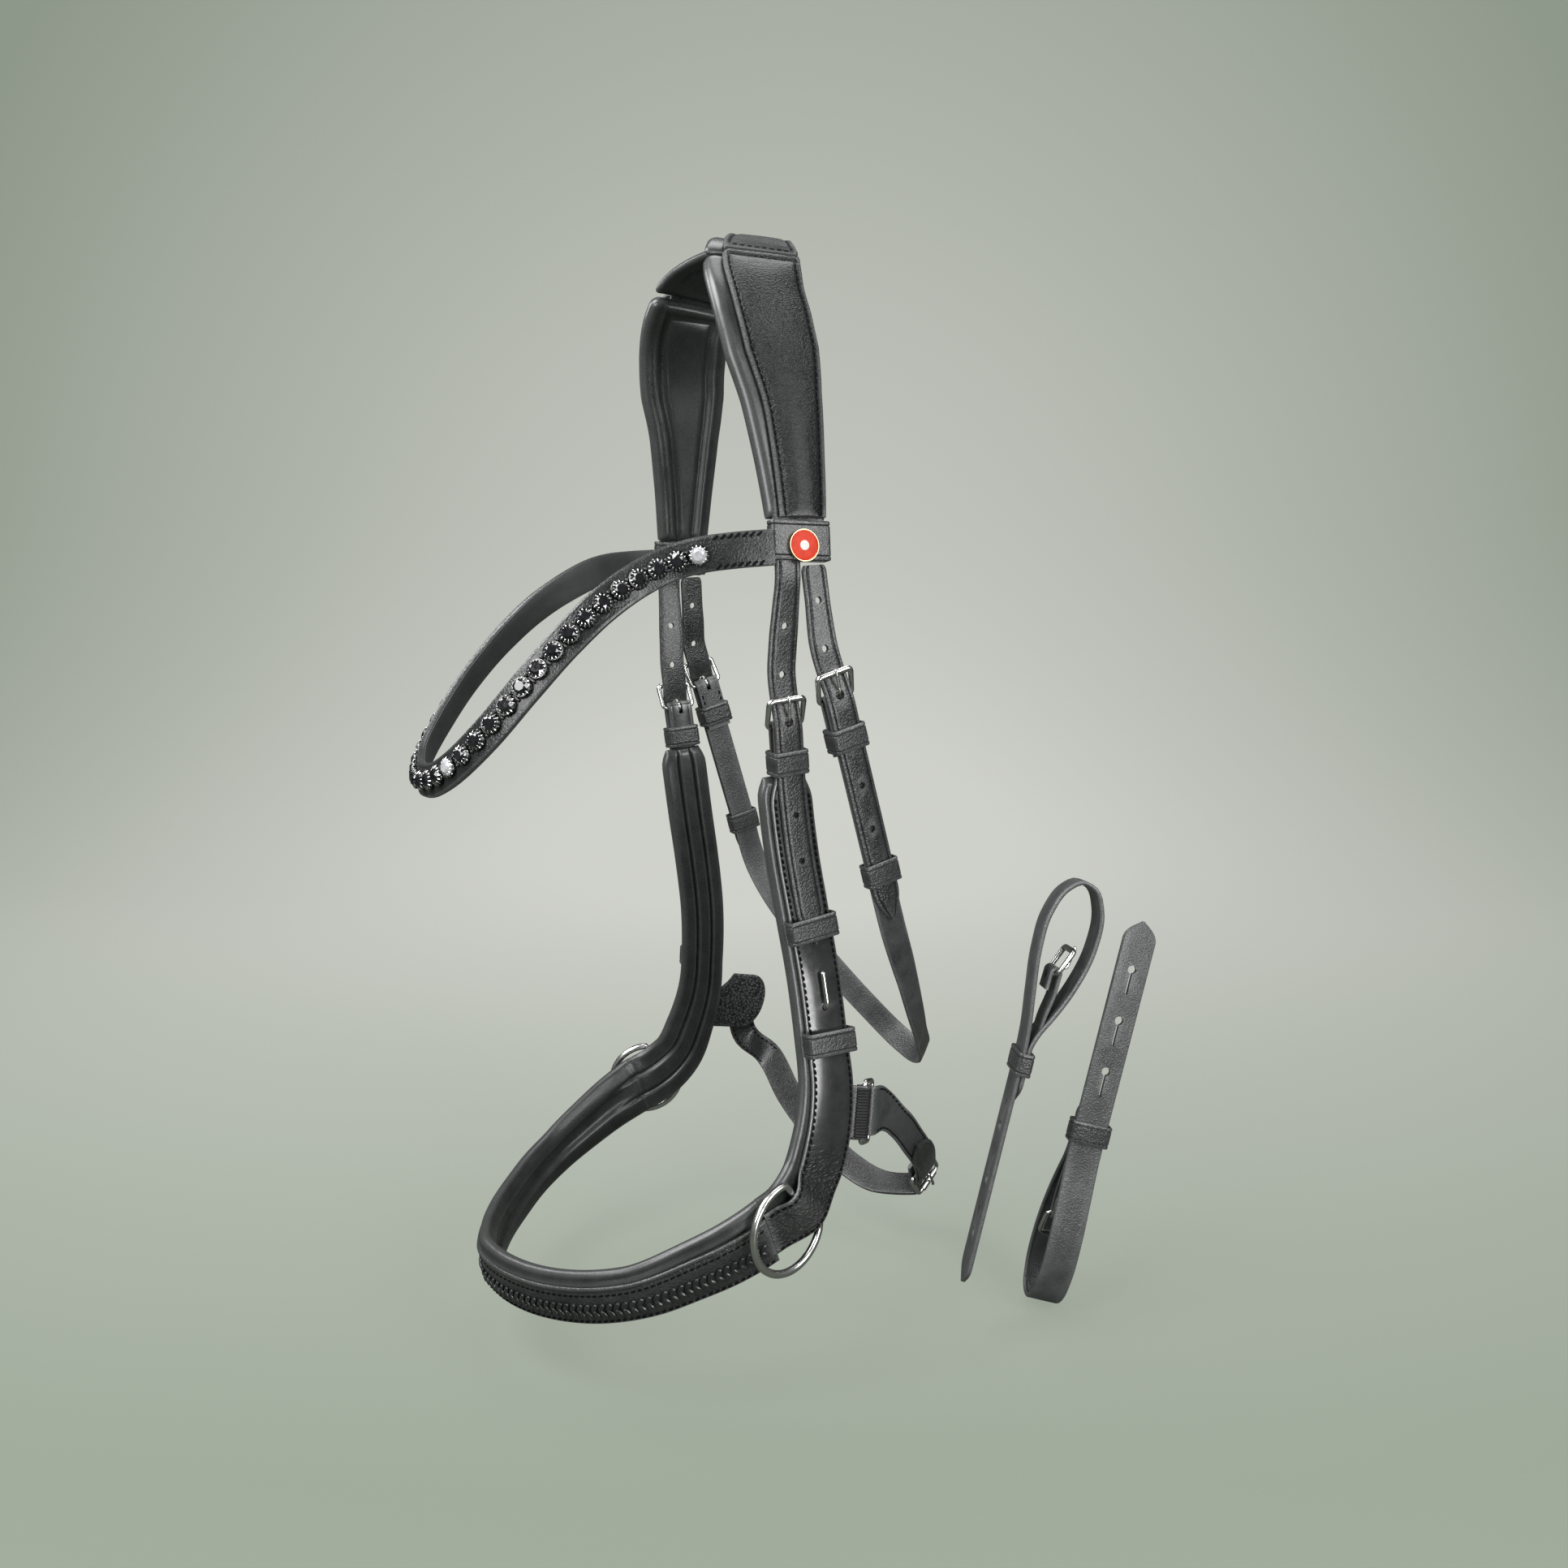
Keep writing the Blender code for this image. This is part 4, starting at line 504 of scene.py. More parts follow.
def both_sides(points):
    return list(points) + [(-x, y, z) for x, y, z in reversed(points[:-1])]


def mirror_x(v):
    return Vector((-v.x, v.y, v.z))


def band_outward(place):
    upward = -0.028 * min(1.0, max(0.0, -place.z - 0.45) * 10)
    return place.x, min(0.0, place.y + 0.040), upward


def brow_outward(place):
    return place.x, min(0.0, place.y + 0.060), 0.0


def crown_outward(place):
    return place.x, 0.0, place.z + 0.090


def throat_outward(place):
    rearward = (place.y - 0.020) * min(1.0, max(0.0, -place.z - 0.37) * 12)
    return place.x, rearward, -0.9 * max(0.0, -place.z - 0.40)


def sideways(place):
    return 1.0, 0.0, 0.0


BAND = Route(both_sides(BAND_ROUTE), band_outward)
BROW = Route(both_sides(BROWBAND_ROUTE), brow_outward)
CROWN = Route(both_sides(CROWN_ROUTE[::-1])[::-1], crown_outward, CROWN_CHORD)
THROAT = Route(both_sides(THROAT_ROUTE), throat_outward)
MIRROR = Matrix.Diagonal((-1.0, 1.0, 1.0, 1.0))
MIDDLE = CROWN.length / 2
BROW_MIDDLE = BROW.length / 2


# Shapes
def put(name, data):
    """A new object in the scene."""
    obj = bpy.data.objects.new(name, data)
    bpy.context.scene.collection.objects.link(obj)
    return obj


def mesh_object(name, verts, faces, mat, sharp):
    mesh = bpy.data.meshes.new(name)
    mesh.from_pydata([tuple(v) for v in verts], [], faces)
    bm = bmesh.new()
    bm.from_mesh(mesh)
    bmesh.ops.recalc_face_normals(bm, faces=bm.faces)
    bm.to_mesh(mesh)
    bm.free()
    mesh.materials.append(mat)
    shade(mesh, sharp)
    return put(name, mesh)


def shade(mesh, sharp):
    mesh.polygons.foreach_set("use_smooth", [True] * len(mesh.polygons))
    mesh.set_sharp_from_angle(angle=math.radians(sharp))


def skin_faces(rings, count, cyclic=False):
    """Faces of a skin through rings of count points each; where it isn't cyclic, its two end caps come last."""
    faces = []
    for i in range(rings if cyclic else rings - 1):
        j = (i + 1) % rings
        for k in range(count):
            m = (k + 1) % count
            faces.append((i * count + k, i * count + m, j * count + m, j * count + k))
    if not cyclic:
        faces += [tuple(range(count)), tuple(range((rings - 1) * count, rings * count))]
    return faces


def loft(name, rings, mat, cyclic=False, sharp=SHARP):
    faces = skin_faces(len(rings), len(rings[0]), cyclic)
    return mesh_object(name, [p for ring in rings for p in ring], faces, mat, sharp)


def strap_section(half, thick, crease, dome):
    """Outline of a strap: rounded edges, and two creases near the edges of its outer face."""
    top = thick / 2
    r = min(0.42 * thick, 0.3 * half)
    edge = [(half - r + r * math.cos(math.radians(t)), side * (top - r) + r * math.sin(math.radians(t)))
            for t, side in ((-90, -1), (-45, -1), (0, -1), (0, 1), (45, 1), (90, 1))]
    inset = min(CREASE_INSET, 0.4 * half)
    wide = min(0.0005, 0.1 * half)
    face = [(half - inset + wide, top), (half - inset, top - crease), (half - inset - wide, top + 0.2 * dome),
            (0.45 * half, top + 0.8 * dome)]
    right = edge + face
    left = [(-a, n) for a, n in reversed(right)]
    return right + [(0.0, top + dome)] + left + [(-0.4 * half, -top), (0.4 * half, -top)]


def sweep(name, frames, mat, crease=0.0, dome=0.0, cyclic=False):
    """A strap through frames of (centre, across, normal, half width, thickness); dome is one height or a list."""
    rings = []
    domes = dome if isinstance(dome, list) else [dome] * len(frames)
    for (centre, across, normal, half, thick), rise in zip(frames, domes):
        rings.append([centre + across * a + normal * n for a, n in strap_section(half, thick, crease, rise)])
    return loft(name, rings, mat, cyclic)


def frames_on(route, places, n, half, thick, shift=0.0):
    frames = []
    for s in places:
        point, along, across, normal = route.at(s)
        centre = point + normal * value(n, s) + across * value(shift, s)
        frames.append((centre, across, normal, value(half, s), value(thick, s)))
    return frames


def strap(name, route, places, half, thick, mat, crease=0.0, dome=0.0, n=0.0, shift=0.0):
    return sweep(name, frames_on(route, places, n, half, thick, shift), mat, crease, dome)


def pointed(half, end, length=TIP_LENGTH):
    """Half width of a strap that ends in a point."""
    def wide(s):
        u = min(1.0, max(0.0, (s - end + length) / length))
        return value(half, s) * max(0.06, 1 - u ** 2.2)
    return wide


def tip_places(start, end):
    return spread(start, end - TIP_LENGTH)[:-1] + spread(end - TIP_LENGTH, end, TIP_FINE)


def pad_ring(route, s, half, outer, inner, shift=0.0, squeeze=1.0, columns=16):
    """Section of a padded piece: outer and inner are heights over y from -1 to 1, the sides are round."""
    point, along, across, normal = route.at(s)
    middle = (outer(0.0) + inner(0.0)) / 2

    def level(face, y):
        return middle + (face(y) - middle) * squeeze

    bulge = {y: min((level(outer, y) - level(inner, y)) / 2, 0.4 * half) for y in (-1, 1)}
    points = []
    for side, face in ((1, outer), (-1, inner)):
        for k in range(columns + 1):
            y = side * (-1 + 2 * k / columns)
            points.append((y * (half - bulge[-1 if y < 0 else 1]), level(face, y)))
        rise, fall = level(outer, side), level(inner, side)
        for k in range(1, 6):
            turn = side * math.pi / 2 - math.pi * k / 6
            points.append((side * (half - bulge[side]) + bulge[side] * math.cos(turn),
                           (rise + fall) / 2 + (rise - fall) / 2 * math.sin(turn)))
    return [point + across * (a + value(shift, s)) + normal * n for a, n in points]


def end_squeeze(s, start, end, reach):
    d = max(0.0, min(s - start, end - s, reach)) / reach
    return max(0.12, math.sqrt(max(0.0, 1 - (1 - d) ** 2)))


def end_places(start, end, reach):
    shares = (0.0, 0.06, 0.2, 0.45, 0.75)
    near = [start + reach * k for k in shares]
    far = [end - reach * k for k in reversed(shares)]
    return near + spread(start + reach, end - reach) + far


def smooth_path(points, per=6):
    """Points on a smooth curve through the given ones."""
    points = [Vector(p) for p in points]
    last = len(points) - 1
    result = []
    for i in range(last):
        a, b, c, d = (points[min(max(i + k, 0), last)] for k in (-1, 0, 1, 2))
        for u in (k / per for k in range(per)):
            result.append(0.5 * (2 * b + (c - a) * u + (2 * a - 5 * b + 4 * c - d) * u**2
                                 + (3 * b - a - 3 * c + d) * u**3))
    return result + [points[-1]]


def tube(name, points, radius, mat, cyclic=False, sides=12):
    """A round wire with domed ends; radius is one number or a list."""
    points = [Vector(p) for p in points]
    radii = radius if isinstance(radius, list) else [radius] * len(points)
    last = len(points) - 1
    rings = []
    side = None
    for i, (point, r) in enumerate(zip(points, radii)):
        before = points[i - 1 if cyclic else max(i - 1, 0)]
        after = points[(i + 1) % len(points) if cyclic else min(i + 1, last)]
        ahead = (after - before).normalized()
        side = ahead.orthogonal().normalized() if side is None else side
        side = (side - ahead * side.dot(ahead)).normalized()
        rings.append((point, side, ahead.cross(side), ahead, r))
    if not cyclic:
        for end, way in ((0, -1), (-1, 1)):
            point, x, y, ahead, r = rings[end]
            cap = [(point + ahead * way * r * d, x, y, ahead, r * w) for d, w in WIRE_CAP]
            rings = rings + cap if end else cap[::-1] + rings
    turns = [math.tau * k / sides for k in range(sides)]
    skin = [[p + (x * math.cos(t) + y * math.sin(t)) * r for t in turns] for p, x, y, ahead, r in rings]
    return loft(name, skin, mat, cyclic, WIRE_SHARP)


def many(name, shape, matrices, mat, sharp=SHARP):
    """One object of many copies of a shape given as (points, faces)."""
    points, faces = shape
    base = np.array([(*p, 1.0) for p in points])
    verts, polys = [], []
    for matrix in matrices:
        start = len(verts)
        verts += [tuple(row[:3]) for row in base @ np.array(matrix).T]
        polys += [tuple(start + i for i in face) for face in faces]
    return mesh_object(name, verts, polys, mat, sharp)


def capsule(length, width, height, sides=6):
    """A stitch or a lacing strand: long in X, flat in Z."""
    rings = ((-0.5, 0.25), (-0.4, 0.75), (-0.15, 1.0), (0.15, 1.0), (0.4, 0.75), (0.5, 0.25))
    turns = [math.tau * (k + 0.5) / sides for k in range(sides)]
    points = [(x * length, r * width / 2 * math.cos(t), r * height / 2 * math.sin(t)) for x, r in rings for t in turns]
    return points, skin_faces(len(rings), sides)


def turned(profile, sides):
    """A shape turned round Z from (radius, height) pairs."""
    turns = [math.tau * k / sides for k in range(sides)]
    points = [(r * math.cos(t), r * math.sin(t), z) for r, z in profile for t in turns]
    return points, skin_faces(len(profile), sides)


def stitches(name, lines, pitch=0.0036, length=0.0027, width=0.0011, slant=8.0):
    """Rows of stitches along lines of (place, normal)."""
    matrices = []
    for line in lines:
        spots, normals = (np.array([tuple(v) for v in column]) for column in zip(*line))
        marks = lengths(spots)

        def read(values, s):
            return Vector([np.interp(s, marks, column) for column in values.T])

        count = max(1, int(marks[-1] / pitch))
        for k in range(count):
            s = (k + 0.5) * marks[-1] / count
            here, ahead = read(spots, s - 0.0004), read(spots, s + 0.0004)
            along = (ahead - here).normalized()
            normal = read(normals, s)
            normal = (normal - along * normal.dot(along)).normalized()
            matrix = frame_matrix((here + ahead) / 2, along, normal.cross(along), normal)
            matrices.append(matrix @ Matrix.Rotation(math.radians(slant), 4, "Z"))
    return many(name, capsule(length, width, width * 0.8), matrices, THREAD)


def row_on(route, places, n, a):
    """A line for stitches at height n and a across."""
    return [(route.place(s, value(n, s), value(a, s)), route.at(s)[3]) for s in places]


def edge_rows(route, places, n, half, inset):
    """Lines for stitches along both edges of a strap."""
    return [row_on(route, places, n, lambda s: side * (value(half, s) - inset)) for side in (1, -1)]


def cut(obj, shapes):
    """Cuts shapes, given as (kind, sizes, matrix), out of a piece."""
    bm = bmesh.new()
    for kind, sizes, matrix in shapes:
        if kind == "box":
            bmesh.ops.create_cube(bm, size=1.0, matrix=matrix @ Matrix.Diagonal((*sizes, 1.0)))
        else:
            bmesh.ops.create_cone(bm, cap_ends=True, segments=20, radius1=sizes[0], radius2=sizes[0], depth=sizes[1],
                                  matrix=matrix @ Matrix.Rotation(math.radians(90), 4, "X"))
    mesh = bpy.data.meshes.new("cutter")
    bm.to_mesh(mesh)
    bm.free()
    other = put("cutter", mesh)
    step = obj.modifiers.new("cut", "BOOLEAN")
    step.operation = "DIFFERENCE"
    step.solver = "EXACT"
    step.object = other
    bpy.context.view_layer.update()
    graph = bpy.context.evaluated_depsgraph_get()
    result = bpy.data.meshes.new_from_object(obj.evaluated_get(graph))
    obj.modifiers.clear()
    mat = obj.data.materials[0]
    obj.data = result
    result.materials.clear()
    result.materials.append(mat)
    shade(result, SHARP)
    even = obj.modifiers.new("even", "WEIGHTED_NORMAL")
    even.weight = 90
    even.keep_sharp = True
    bpy.data.objects.remove(other, do_unlink=True)
    return obj


def mirrored(obj):
    mesh = obj.data.copy()
    mesh.transform(MIRROR)
    mesh.flip_normals()
    return put(obj.name.replace("_left", "_right"), mesh)


def stand(obj, cad_node, slot="leather", fill=None):
    """Rides the piece on its node's body and shows it in the node's place."""
    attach(obj, BODY_OF[cad_node])
    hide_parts(cad_node)


def pair(obj, cad_node, slot="leather", fill=None):
    """A left piece and its reflection on the right."""
    other = mirrored(obj)
    stand(obj, cad_node, slot, fill)
    stand(other, cad_node.replace("_left", "_right"), slot, fill)


def wrap_frames(bar, lead, outward, across, radius, half, thick):
    """A strap's turn round a bar, by way of lead."""
    frames = []
    for k in range(13):
        turn = math.pi / 2 - math.pi * k / 12
        spoke = lead * math.cos(turn) + outward * math.sin(turn)
        frames.append((bar + spoke * radius, across, spoke, half, thick))
    return frames


def fold_frames(route, half, leg):
    """The end of a strap folded back round the buckle bar."""
    bar, along, across, normal = route.at(0.0)
    frames = [(bar + along * t - normal * FOLD_MID, across, -normal, half, STRIP_THICK)
              for t in reversed(spread(0.0, leg))]
    return frames + wrap_frames(bar, -along, normal, across, FOLD_MID, half, STRIP_THICK)[-2::-1]


def chape_slot(route):
    reach = EYE_RADIUS + TONGUE_RADIUS + 0.001
    return ("box", (2 * TONGUE_RADIUS + 0.001, 2 * (STRIP_OUT + 0.001), 2 * reach), route.matrix(0.0))


def rounded(wide, tall, corner, steps):
    """Points (x, y, angle) of a rectangle of half sizes wide and tall with round corners."""
    points = []
    for sx, sy, start in ((1, 1, 0), (-1, 1, 90), (-1, -1, 180), (1, -1, 270)):
        for k in range(steps + 1):
            turn = math.radians(start + 90 * k / steps)
            points.append((sx * (wide - corner) + corner * math.cos(turn),
                           sy * (tall - corner) + corner * math.sin(turn), turn))
    return points


def keeper(name, matrix, half, low, high, height=KEEPER_HEIGHT, wall=KEEPER_WALL):
    """A leather loop with creased edges; matrix has X across, Y outward, Z along the strap."""
    across, outward, along = (matrix.col[k].to_3d() for k in range(3))
    centre = matrix.translation + outward * (low + high) / 2
    frames = []
    for x, y, turn in rounded(half + KEEPER_PLAY + wall / 2, (high - low + wall) / 2, wall * 0.75, 4):
        spoke = across * math.cos(turn) + outward * math.sin(turn)
        frames.append((centre + across * x + outward * y, along, spoke, height / 2, wall))
    return sweep(name, frames, SMOOTH, CREASE_DEPTH, 0.0, True)


def loop_path(length, half, corner):
    """A wire's loop from d = 0 to length, a = half to -half."""
    return [(length / 2 + x, y) for x, y, turn in rounded(length / 2, half, corner, 5)]


def buckle(place, prefix, suffix, route, width, front_radius=FRONT_RADIUS, sleeve=0.0):
    """Frame and tongue on the bar at the start of a route; sleeve is the roller's wall and play on the front bar."""
    bar, along, across, normal = route.at(0.0)

    def at(t, n, a=0.0):
        return bar + along * t + normal * n + across * a

    slope = Vector((-BUCKLE_REACH, BUCKLE_RISE)).normalized()
    span = math.hypot(BUCKLE_REACH, BUCKLE_RISE)
    thick = table((0.0, BAR_RADIUS), (0.25 * span, SIDE_RADIUS), (0.8 * span, SIDE_RADIUS), (span, front_radius))
    path = loop_path(span, width / 2 + FRAME_PLAY + SIDE_RADIUS, BUCKLE_CORNER)
    frame_piece = tube(f"{prefix}_buckle{suffix}", [at(slope.x * d, slope.y * d, a) for d, a in path],
                       [thick(d) for d, a in path], NICKEL, True)
    rest = BUCKLE_RISE + front_radius + sleeve + CLEARANCE + TONGUE_RADIUS
    path = [(EYE_RADIUS * math.cos(t), EYE_RADIUS * math.sin(t)) for t in map(math.radians, range(-185, 80, 33))]
    path += [(-0.0004, EYE_RADIUS + 0.0001), (-0.0021, EYE_RADIUS + 0.0008), (-0.0031, BILLET_MID - 0.0007),
             (-0.0043, BILLET_OUT + 0.0004), (-0.0070, 0.55 * BILLET_OUT + 0.45 * rest),
             (-BUCKLE_REACH, rest), (-BUCKLE_REACH - 0.0016, rest - 0.0002)]
    tongue = tube(f"{prefix}_tongue{suffix}", smooth_path([at(t, n) for t, n in path], 4), TONGUE_RADIUS, NICKEL)
    place(frame_piece, f"{prefix}_buckle_frame{suffix}", "metal")
    place(tongue, f"{prefix}_buckle_tongue{suffix}", "metal")


def front_level(front_radius=FRONT_RADIUS, sleeve=0.0):
    return BUCKLE_RISE - front_radius - sleeve - CLEARANCE - BILLET_THICK / 2


def buckled_route(start_points, route, tip_at):
    level = front_level()
    points = [Vector(p) for p in start_points]
    points.append(route.place(-2.0 * BUCKLE_REACH, level - 0.0012))
    points.append(route.place(-BUCKLE_REACH, level))
    points.append(route.place(0.0, BILLET_MID))
    points += [route.place(s, BILLET_MID) for s in route.run(0.006, tip_at)[1:]]
    return Route(points, sideways)


def nearest(route, place):
    trial = np.linspace(0.0, route.length, 1500)
    gaps = [(route.at(s)[0] - place).length for s in trial]
    return float(trial[int(np.argmin(gaps))])


def tongue_hole(route, buckle_route):
    return nearest(route, buckle_route.place(-0.0026, BILLET_MID - 0.0005))


def punched(route, places, tongue_at):
    """Holes for cut; the one with the tongue in it is wider."""
    return [("hole", (TONGUE_HOLE_RADIUS if s == tongue_at else HOLE_RADIUS, 0.010), route.matrix(s)) for s in places]


def billet_holes(route, buckle_route):
    tongue_at = tongue_hole(route, buckle_route)
    spots = [tongue_at + k * HOLE_PITCH for k in range(-HOLES_ABOVE, HOLES_BELOW + 1)]
    return punched(route, [s for s in spots if s < route.length - 0.012], tongue_at)


# Crown
def crown_half_width(s):
    return table(*CROWN_HALF_WIDTHS, (CROWN_END, CROWN_FOOT_WIDTH / 2))(abs(s - MIDDLE))


def cornered(half, d, radius):
    """Half width near an end that has round corners, d from the end."""
    if d >= radius:
        return half
    return half - radius + math.sqrt(max(0.0, radius**2 - (radius - d)**2))


def drawn(s):
    """How far the cover is drawn back from the front edge of the panel."""
    return table((POLL_HALF_LENGTH, COVER_DRAW), (DRAW_UNTIL, COVER_DRAW), (CROWN_END, 0.0))(abs(s - MIDDLE))


def crown_spot(s, n, a):
    """A place on the crown; near the seams it moves along, so that they run aslant."""
    side = 1 if s > MIDDLE else -1
    near = max(0.0, 1.0 - abs(abs(s - MIDDLE) - POLL_HALF_LENGTH) / SEAM_FADE)
    return CROWN.place(s + side * near * (SEAM_LEAD - SEAM_SLANT * a), n, a)


def crown_ring(s, *settings, **more):
    point, along, across, normal = CROWN.at(s)
    ring = [p - point for p in pad_ring(CROWN, s, *settings, **more)]
    return [crown_spot(s, p.dot(normal), p.dot(across)) for p in ring]


def crown_panel(name, start, end, depth, puff, corner, open_foot, skin):
    """Pad and cover of one panel of the crown, with its stitching."""
    face = BILLET_THICK / 2

    def width(s, inset, radius):
        half = crown_half_width(s) - inset
        half = cornered(half, s - start, radius)
        return half if open_foot else cornered(half, end - s, radius)

    def lining(s):
        """Rolls round the edges, a crease inside them and a flat middle."""
        half = crown_half_width(s)
        ends = s - start if open_foot else min(s - start, end - s)

        def level(y):
            inset = min((1 - abs(y)) * half, ends)
            roll = math.exp(-((inset - 0.0045) / 0.0028) ** 2)
            crease = math.exp(-((inset - 0.0100) / 0.0026) ** 2)
            return -depth * (1.0 + 0.12 * roll - 0.16 * crease)
        return level

    places = end_places(start, end, PAD_ROUND) + [start + d for d in (0.0062, 0.0075, 0.0085, 0.0105, 0.0115)]
    rings = [crown_ring(s, width(s, 0.0, corner), lambda y: face, lining(s),
                        squeeze=end_squeeze(s, start, end, 0.004), columns=44) for s in sorted(places)]
    pad = loft(f"{name}_padding", rings, SOFT, sharp=PAD_SHARP)

    low, high = start + 0.0002, end - (0.0 if open_foot else 0.0002)

    def cover_half(s):
        return width(s, COVER_INSET, 0.75 * corner) - drawn(s)

    def top(s, a, half):
        edge = min(half - abs(a), s - low, half if open_foot else high - s)
        valley = 0.0008 * math.exp(-((edge - SEWN_INSET) / 0.0009) ** 2)
        u = min(1.0, max(0.0, (edge - SEWN_INSET) / (half - SEWN_INSET)))
        return CROWN_FACE + CROWN_COVER_THICK - valley + puff * 1.15 * (1 - (1 - u) ** 2.2)

    def sewn(s, a, half):
        """A place and normal for a stitch."""
        return crown_spot(s, top(s, a, half) + 0.0001, a + COVER_SHIFT + drawn(s)), CROWN.at(s)[3]

    rings = []
    places = [low + d for d in (0.0, 0.0012, 0.0024, SEWN_INSET, 0.0042, 0.006)] + spread(low + 0.009, high, 0.003)
    for s in places:
        half = cover_half(s)
        columns = [half - d for d in (EDGE_ROUND, 0.0018, 0.0026, SEWN_INSET, 0.0040, 0.0055)]
        columns += [0.72 * half - 0.001, 0.5 * half, 0.25 * half]
        columns = columns + [0.0] + [-a for a in reversed(columns)]
        sides = [(half - 0.0003, CROWN_FACE), (half, CROWN_FACE + EDGE_ROUND),
                 (half - 0.3 * EDGE_ROUND, CROWN_FACE + 0.0016)]
        outline = [(a, top(s, a, half)) for a in columns] + [(-a, n) for a, n in reversed(sides)] + sides
        rings.append([crown_spot(s, n, a + COVER_SHIFT + drawn(s)) for a, n in outline])
    cover = loft(f"{name}_skin", rings, skin, sharp=WIRE_SHARP)

    places = spread(low + 0.004, high - (0.0 if open_foot else 0.004), SEW_STEP)
    lines = [[sewn(s, side * (cover_half(s) - SEWN_INSET), cover_half(s)) for s in places] for side in (1, -1)]
    for s in (low + SEWN_INSET,) if open_foot else (low + SEWN_INSET, high - SEWN_INSET):
        half = cover_half(s) - SEWN_INSET - 0.001
        lines.append([sewn(s, a, half + SEWN_INSET) for a in spread(-half, half, SEW_STEP)])
    return pad, cover, stitches(f"{name}_stitches", lines)


poll = crown_panel("poll", MIDDLE - POLL_HALF_LENGTH, MIDDLE + POLL_HALF_LENGTH, POLL_PAD_DEPTH, POLL_PUFF, 0.003,
                   False, MATT)
stand(poll[0], "poll_pad", "padding", 0.7)
stand(poll[1], "poll_cover", fill=0.6)
stand(poll[2], "poll_cover")
crown = crown_panel("crown_left", MIDDLE + POLL_HALF_LENGTH + CROWN_SEAM, MIDDLE + CROWN_END, CROWN_PAD_DEPTH,
                    CROWN_PUFF, 0.005, True, WRINKLED)
pair(crown[0], "crown_pad_left", "padding", 0.8)
pair(crown[1], "crown_cover_left", fill=0.7)
pair(crown[2], "crown_cover_left")

# Headpiece and billets
split = SPLIT_AT + SPLIT_BELOW
places = spread(MIDDLE - split + 0.0007, MIDDLE + split - 0.0007)
stand(strap("headpiece", CROWN, places, BILLET_ROOT_WIDTH, BILLET_THICK, SMOOTH), "headpiece_strap")
roots = [CROWN.place(MIDDLE + split + step, 0.0, -ROOT) for step in (0.0005, 0.006)]
CHEEK_BILLET = buckled_route([*roots, *CHEEK_BILLET_ROUTE], BAND, BILLET_TIP_AT)
wide = table((0.0, ROOT), (0.012, ROOT), (0.035, HALF))
billet = strap("cheek_billet_left", CHEEK_BILLET, tip_places(-0.004, CHEEK_BILLET.length),
               pointed(wide, CHEEK_BILLET.length), BILLET_THICK, SMOOTH, CREASE_DEPTH, BILLET_DOME)
pair(cut(billet, billet_holes(CHEEK_BILLET, BAND)), "headpiece_strap")

lead = (Vector(THROAT_BILLET_ROUTE[0]) - Vector(THROAT_PIVOT)).normalized()
roots = [Vector(THROAT_PIVOT) - lead * ROOT, THROAT_PIVOT]
THROAT_BILLET = buckled_route([*roots, *THROAT_BILLET_ROUTE], THROAT, THROAT_TIP_AT)
wide = table((ROOT + 0.012, ROOT), (ROOT + 0.03, HALF))


def throat_billet_half(s):
    """Rounded at the root, pointed at the tip."""
    root = math.sqrt(max(0.02, 1 - (1 - min(1.0, s / 0.004)) ** 2))
    return pointed(wide, THROAT_BILLET.length)(s) * (0.75 + 0.25 * root)


places = spread(0.0, 0.004, 0.0008)[:-1] + tip_places(0.004, THROAT_BILLET.length)
billet = strap("throat_billet_piece_left", THROAT_BILLET, places, throat_billet_half, BILLET_THICK, SMOOTH,
               CREASE_DEPTH, BILLET_DOME)
pair(cut(billet, billet_holes(THROAT_BILLET, THROAT)), "throat_billet_left")

# Browband
half = BROWBAND_WIDTH / 2
places = spread(0.0, BROW.length)
stand(strap("browband_strap", BROW, places, half, BROWBAND_THICK, SMOOTH, 0.0, BILLET_DOME), "browband")
lining = strap("browband_lining", BROW, spread(0.0005, BROW.length - 0.0005), half - 0.0007, 0.0007, LINED,
               n=-BROWBAND_THICK / 2 - 0.0001)
stand(lining, "browband")
loop_at = MIDDLE + SPLIT_AT - 0.0005
loop = keeper("browband_loop_left", CROWN.matrix(loop_at), BILLET_ROOT_WIDTH + LOOP_PLAY - KEEPER_PLAY,
              -BILLET_THICK / 2 - LOOP_PLAY, BILLET_THICK / 2 + LOOP_PLAY, LOOP_HEIGHT)
pair(loop, "browband")
rows = []
for low, high in ((0.005, STONES_START - 0.006), (BROW.length - STONES_START + 0.006, BROW.length - 0.005)):
    rows += edge_rows(BROW, spread(low, high, SEW_STEP), BROWBAND_THICK / 2 + 0.0001, half, 0.0019)
stand(stitches("browband_stitches", rows, 0.0034, 0.0036, 0.0015, 38.0), "browband")


def cut_stone(radius, base, height):
    """A faceted stone: girdle, crown facets and table."""
    rings = ((0.85, base - 0.0006, 0.0), (1.0, base, 0.0), (0.80, base + 0.55 * (height - base), 0.5),
             (0.52, height, 0.0))
    points, faces = [], []
    for r, z, turn in rings:
        for angle in (math.tau * (k + turn) / 8 for k in range(8)):
            points.append((r * radius * math.cos(angle), r * radius * math.sin(angle), z))
    for i in range(3):
        for k in range(8):
            m = (k + 1) % 8
            a, b, c, d = i * 8 + k, i * 8 + m, (i + 1) * 8 + k, (i + 1) * 8 + m
            if i == 0:
                faces.append((a, b, d, c))
            elif i == 1:
                faces += [(a, b, c), (b, d, c)]
            else:
                faces += [(a, b, d), (a, d, c)]
    faces += [tuple(range(8)), tuple(range(24, 32))]
    return points, faces


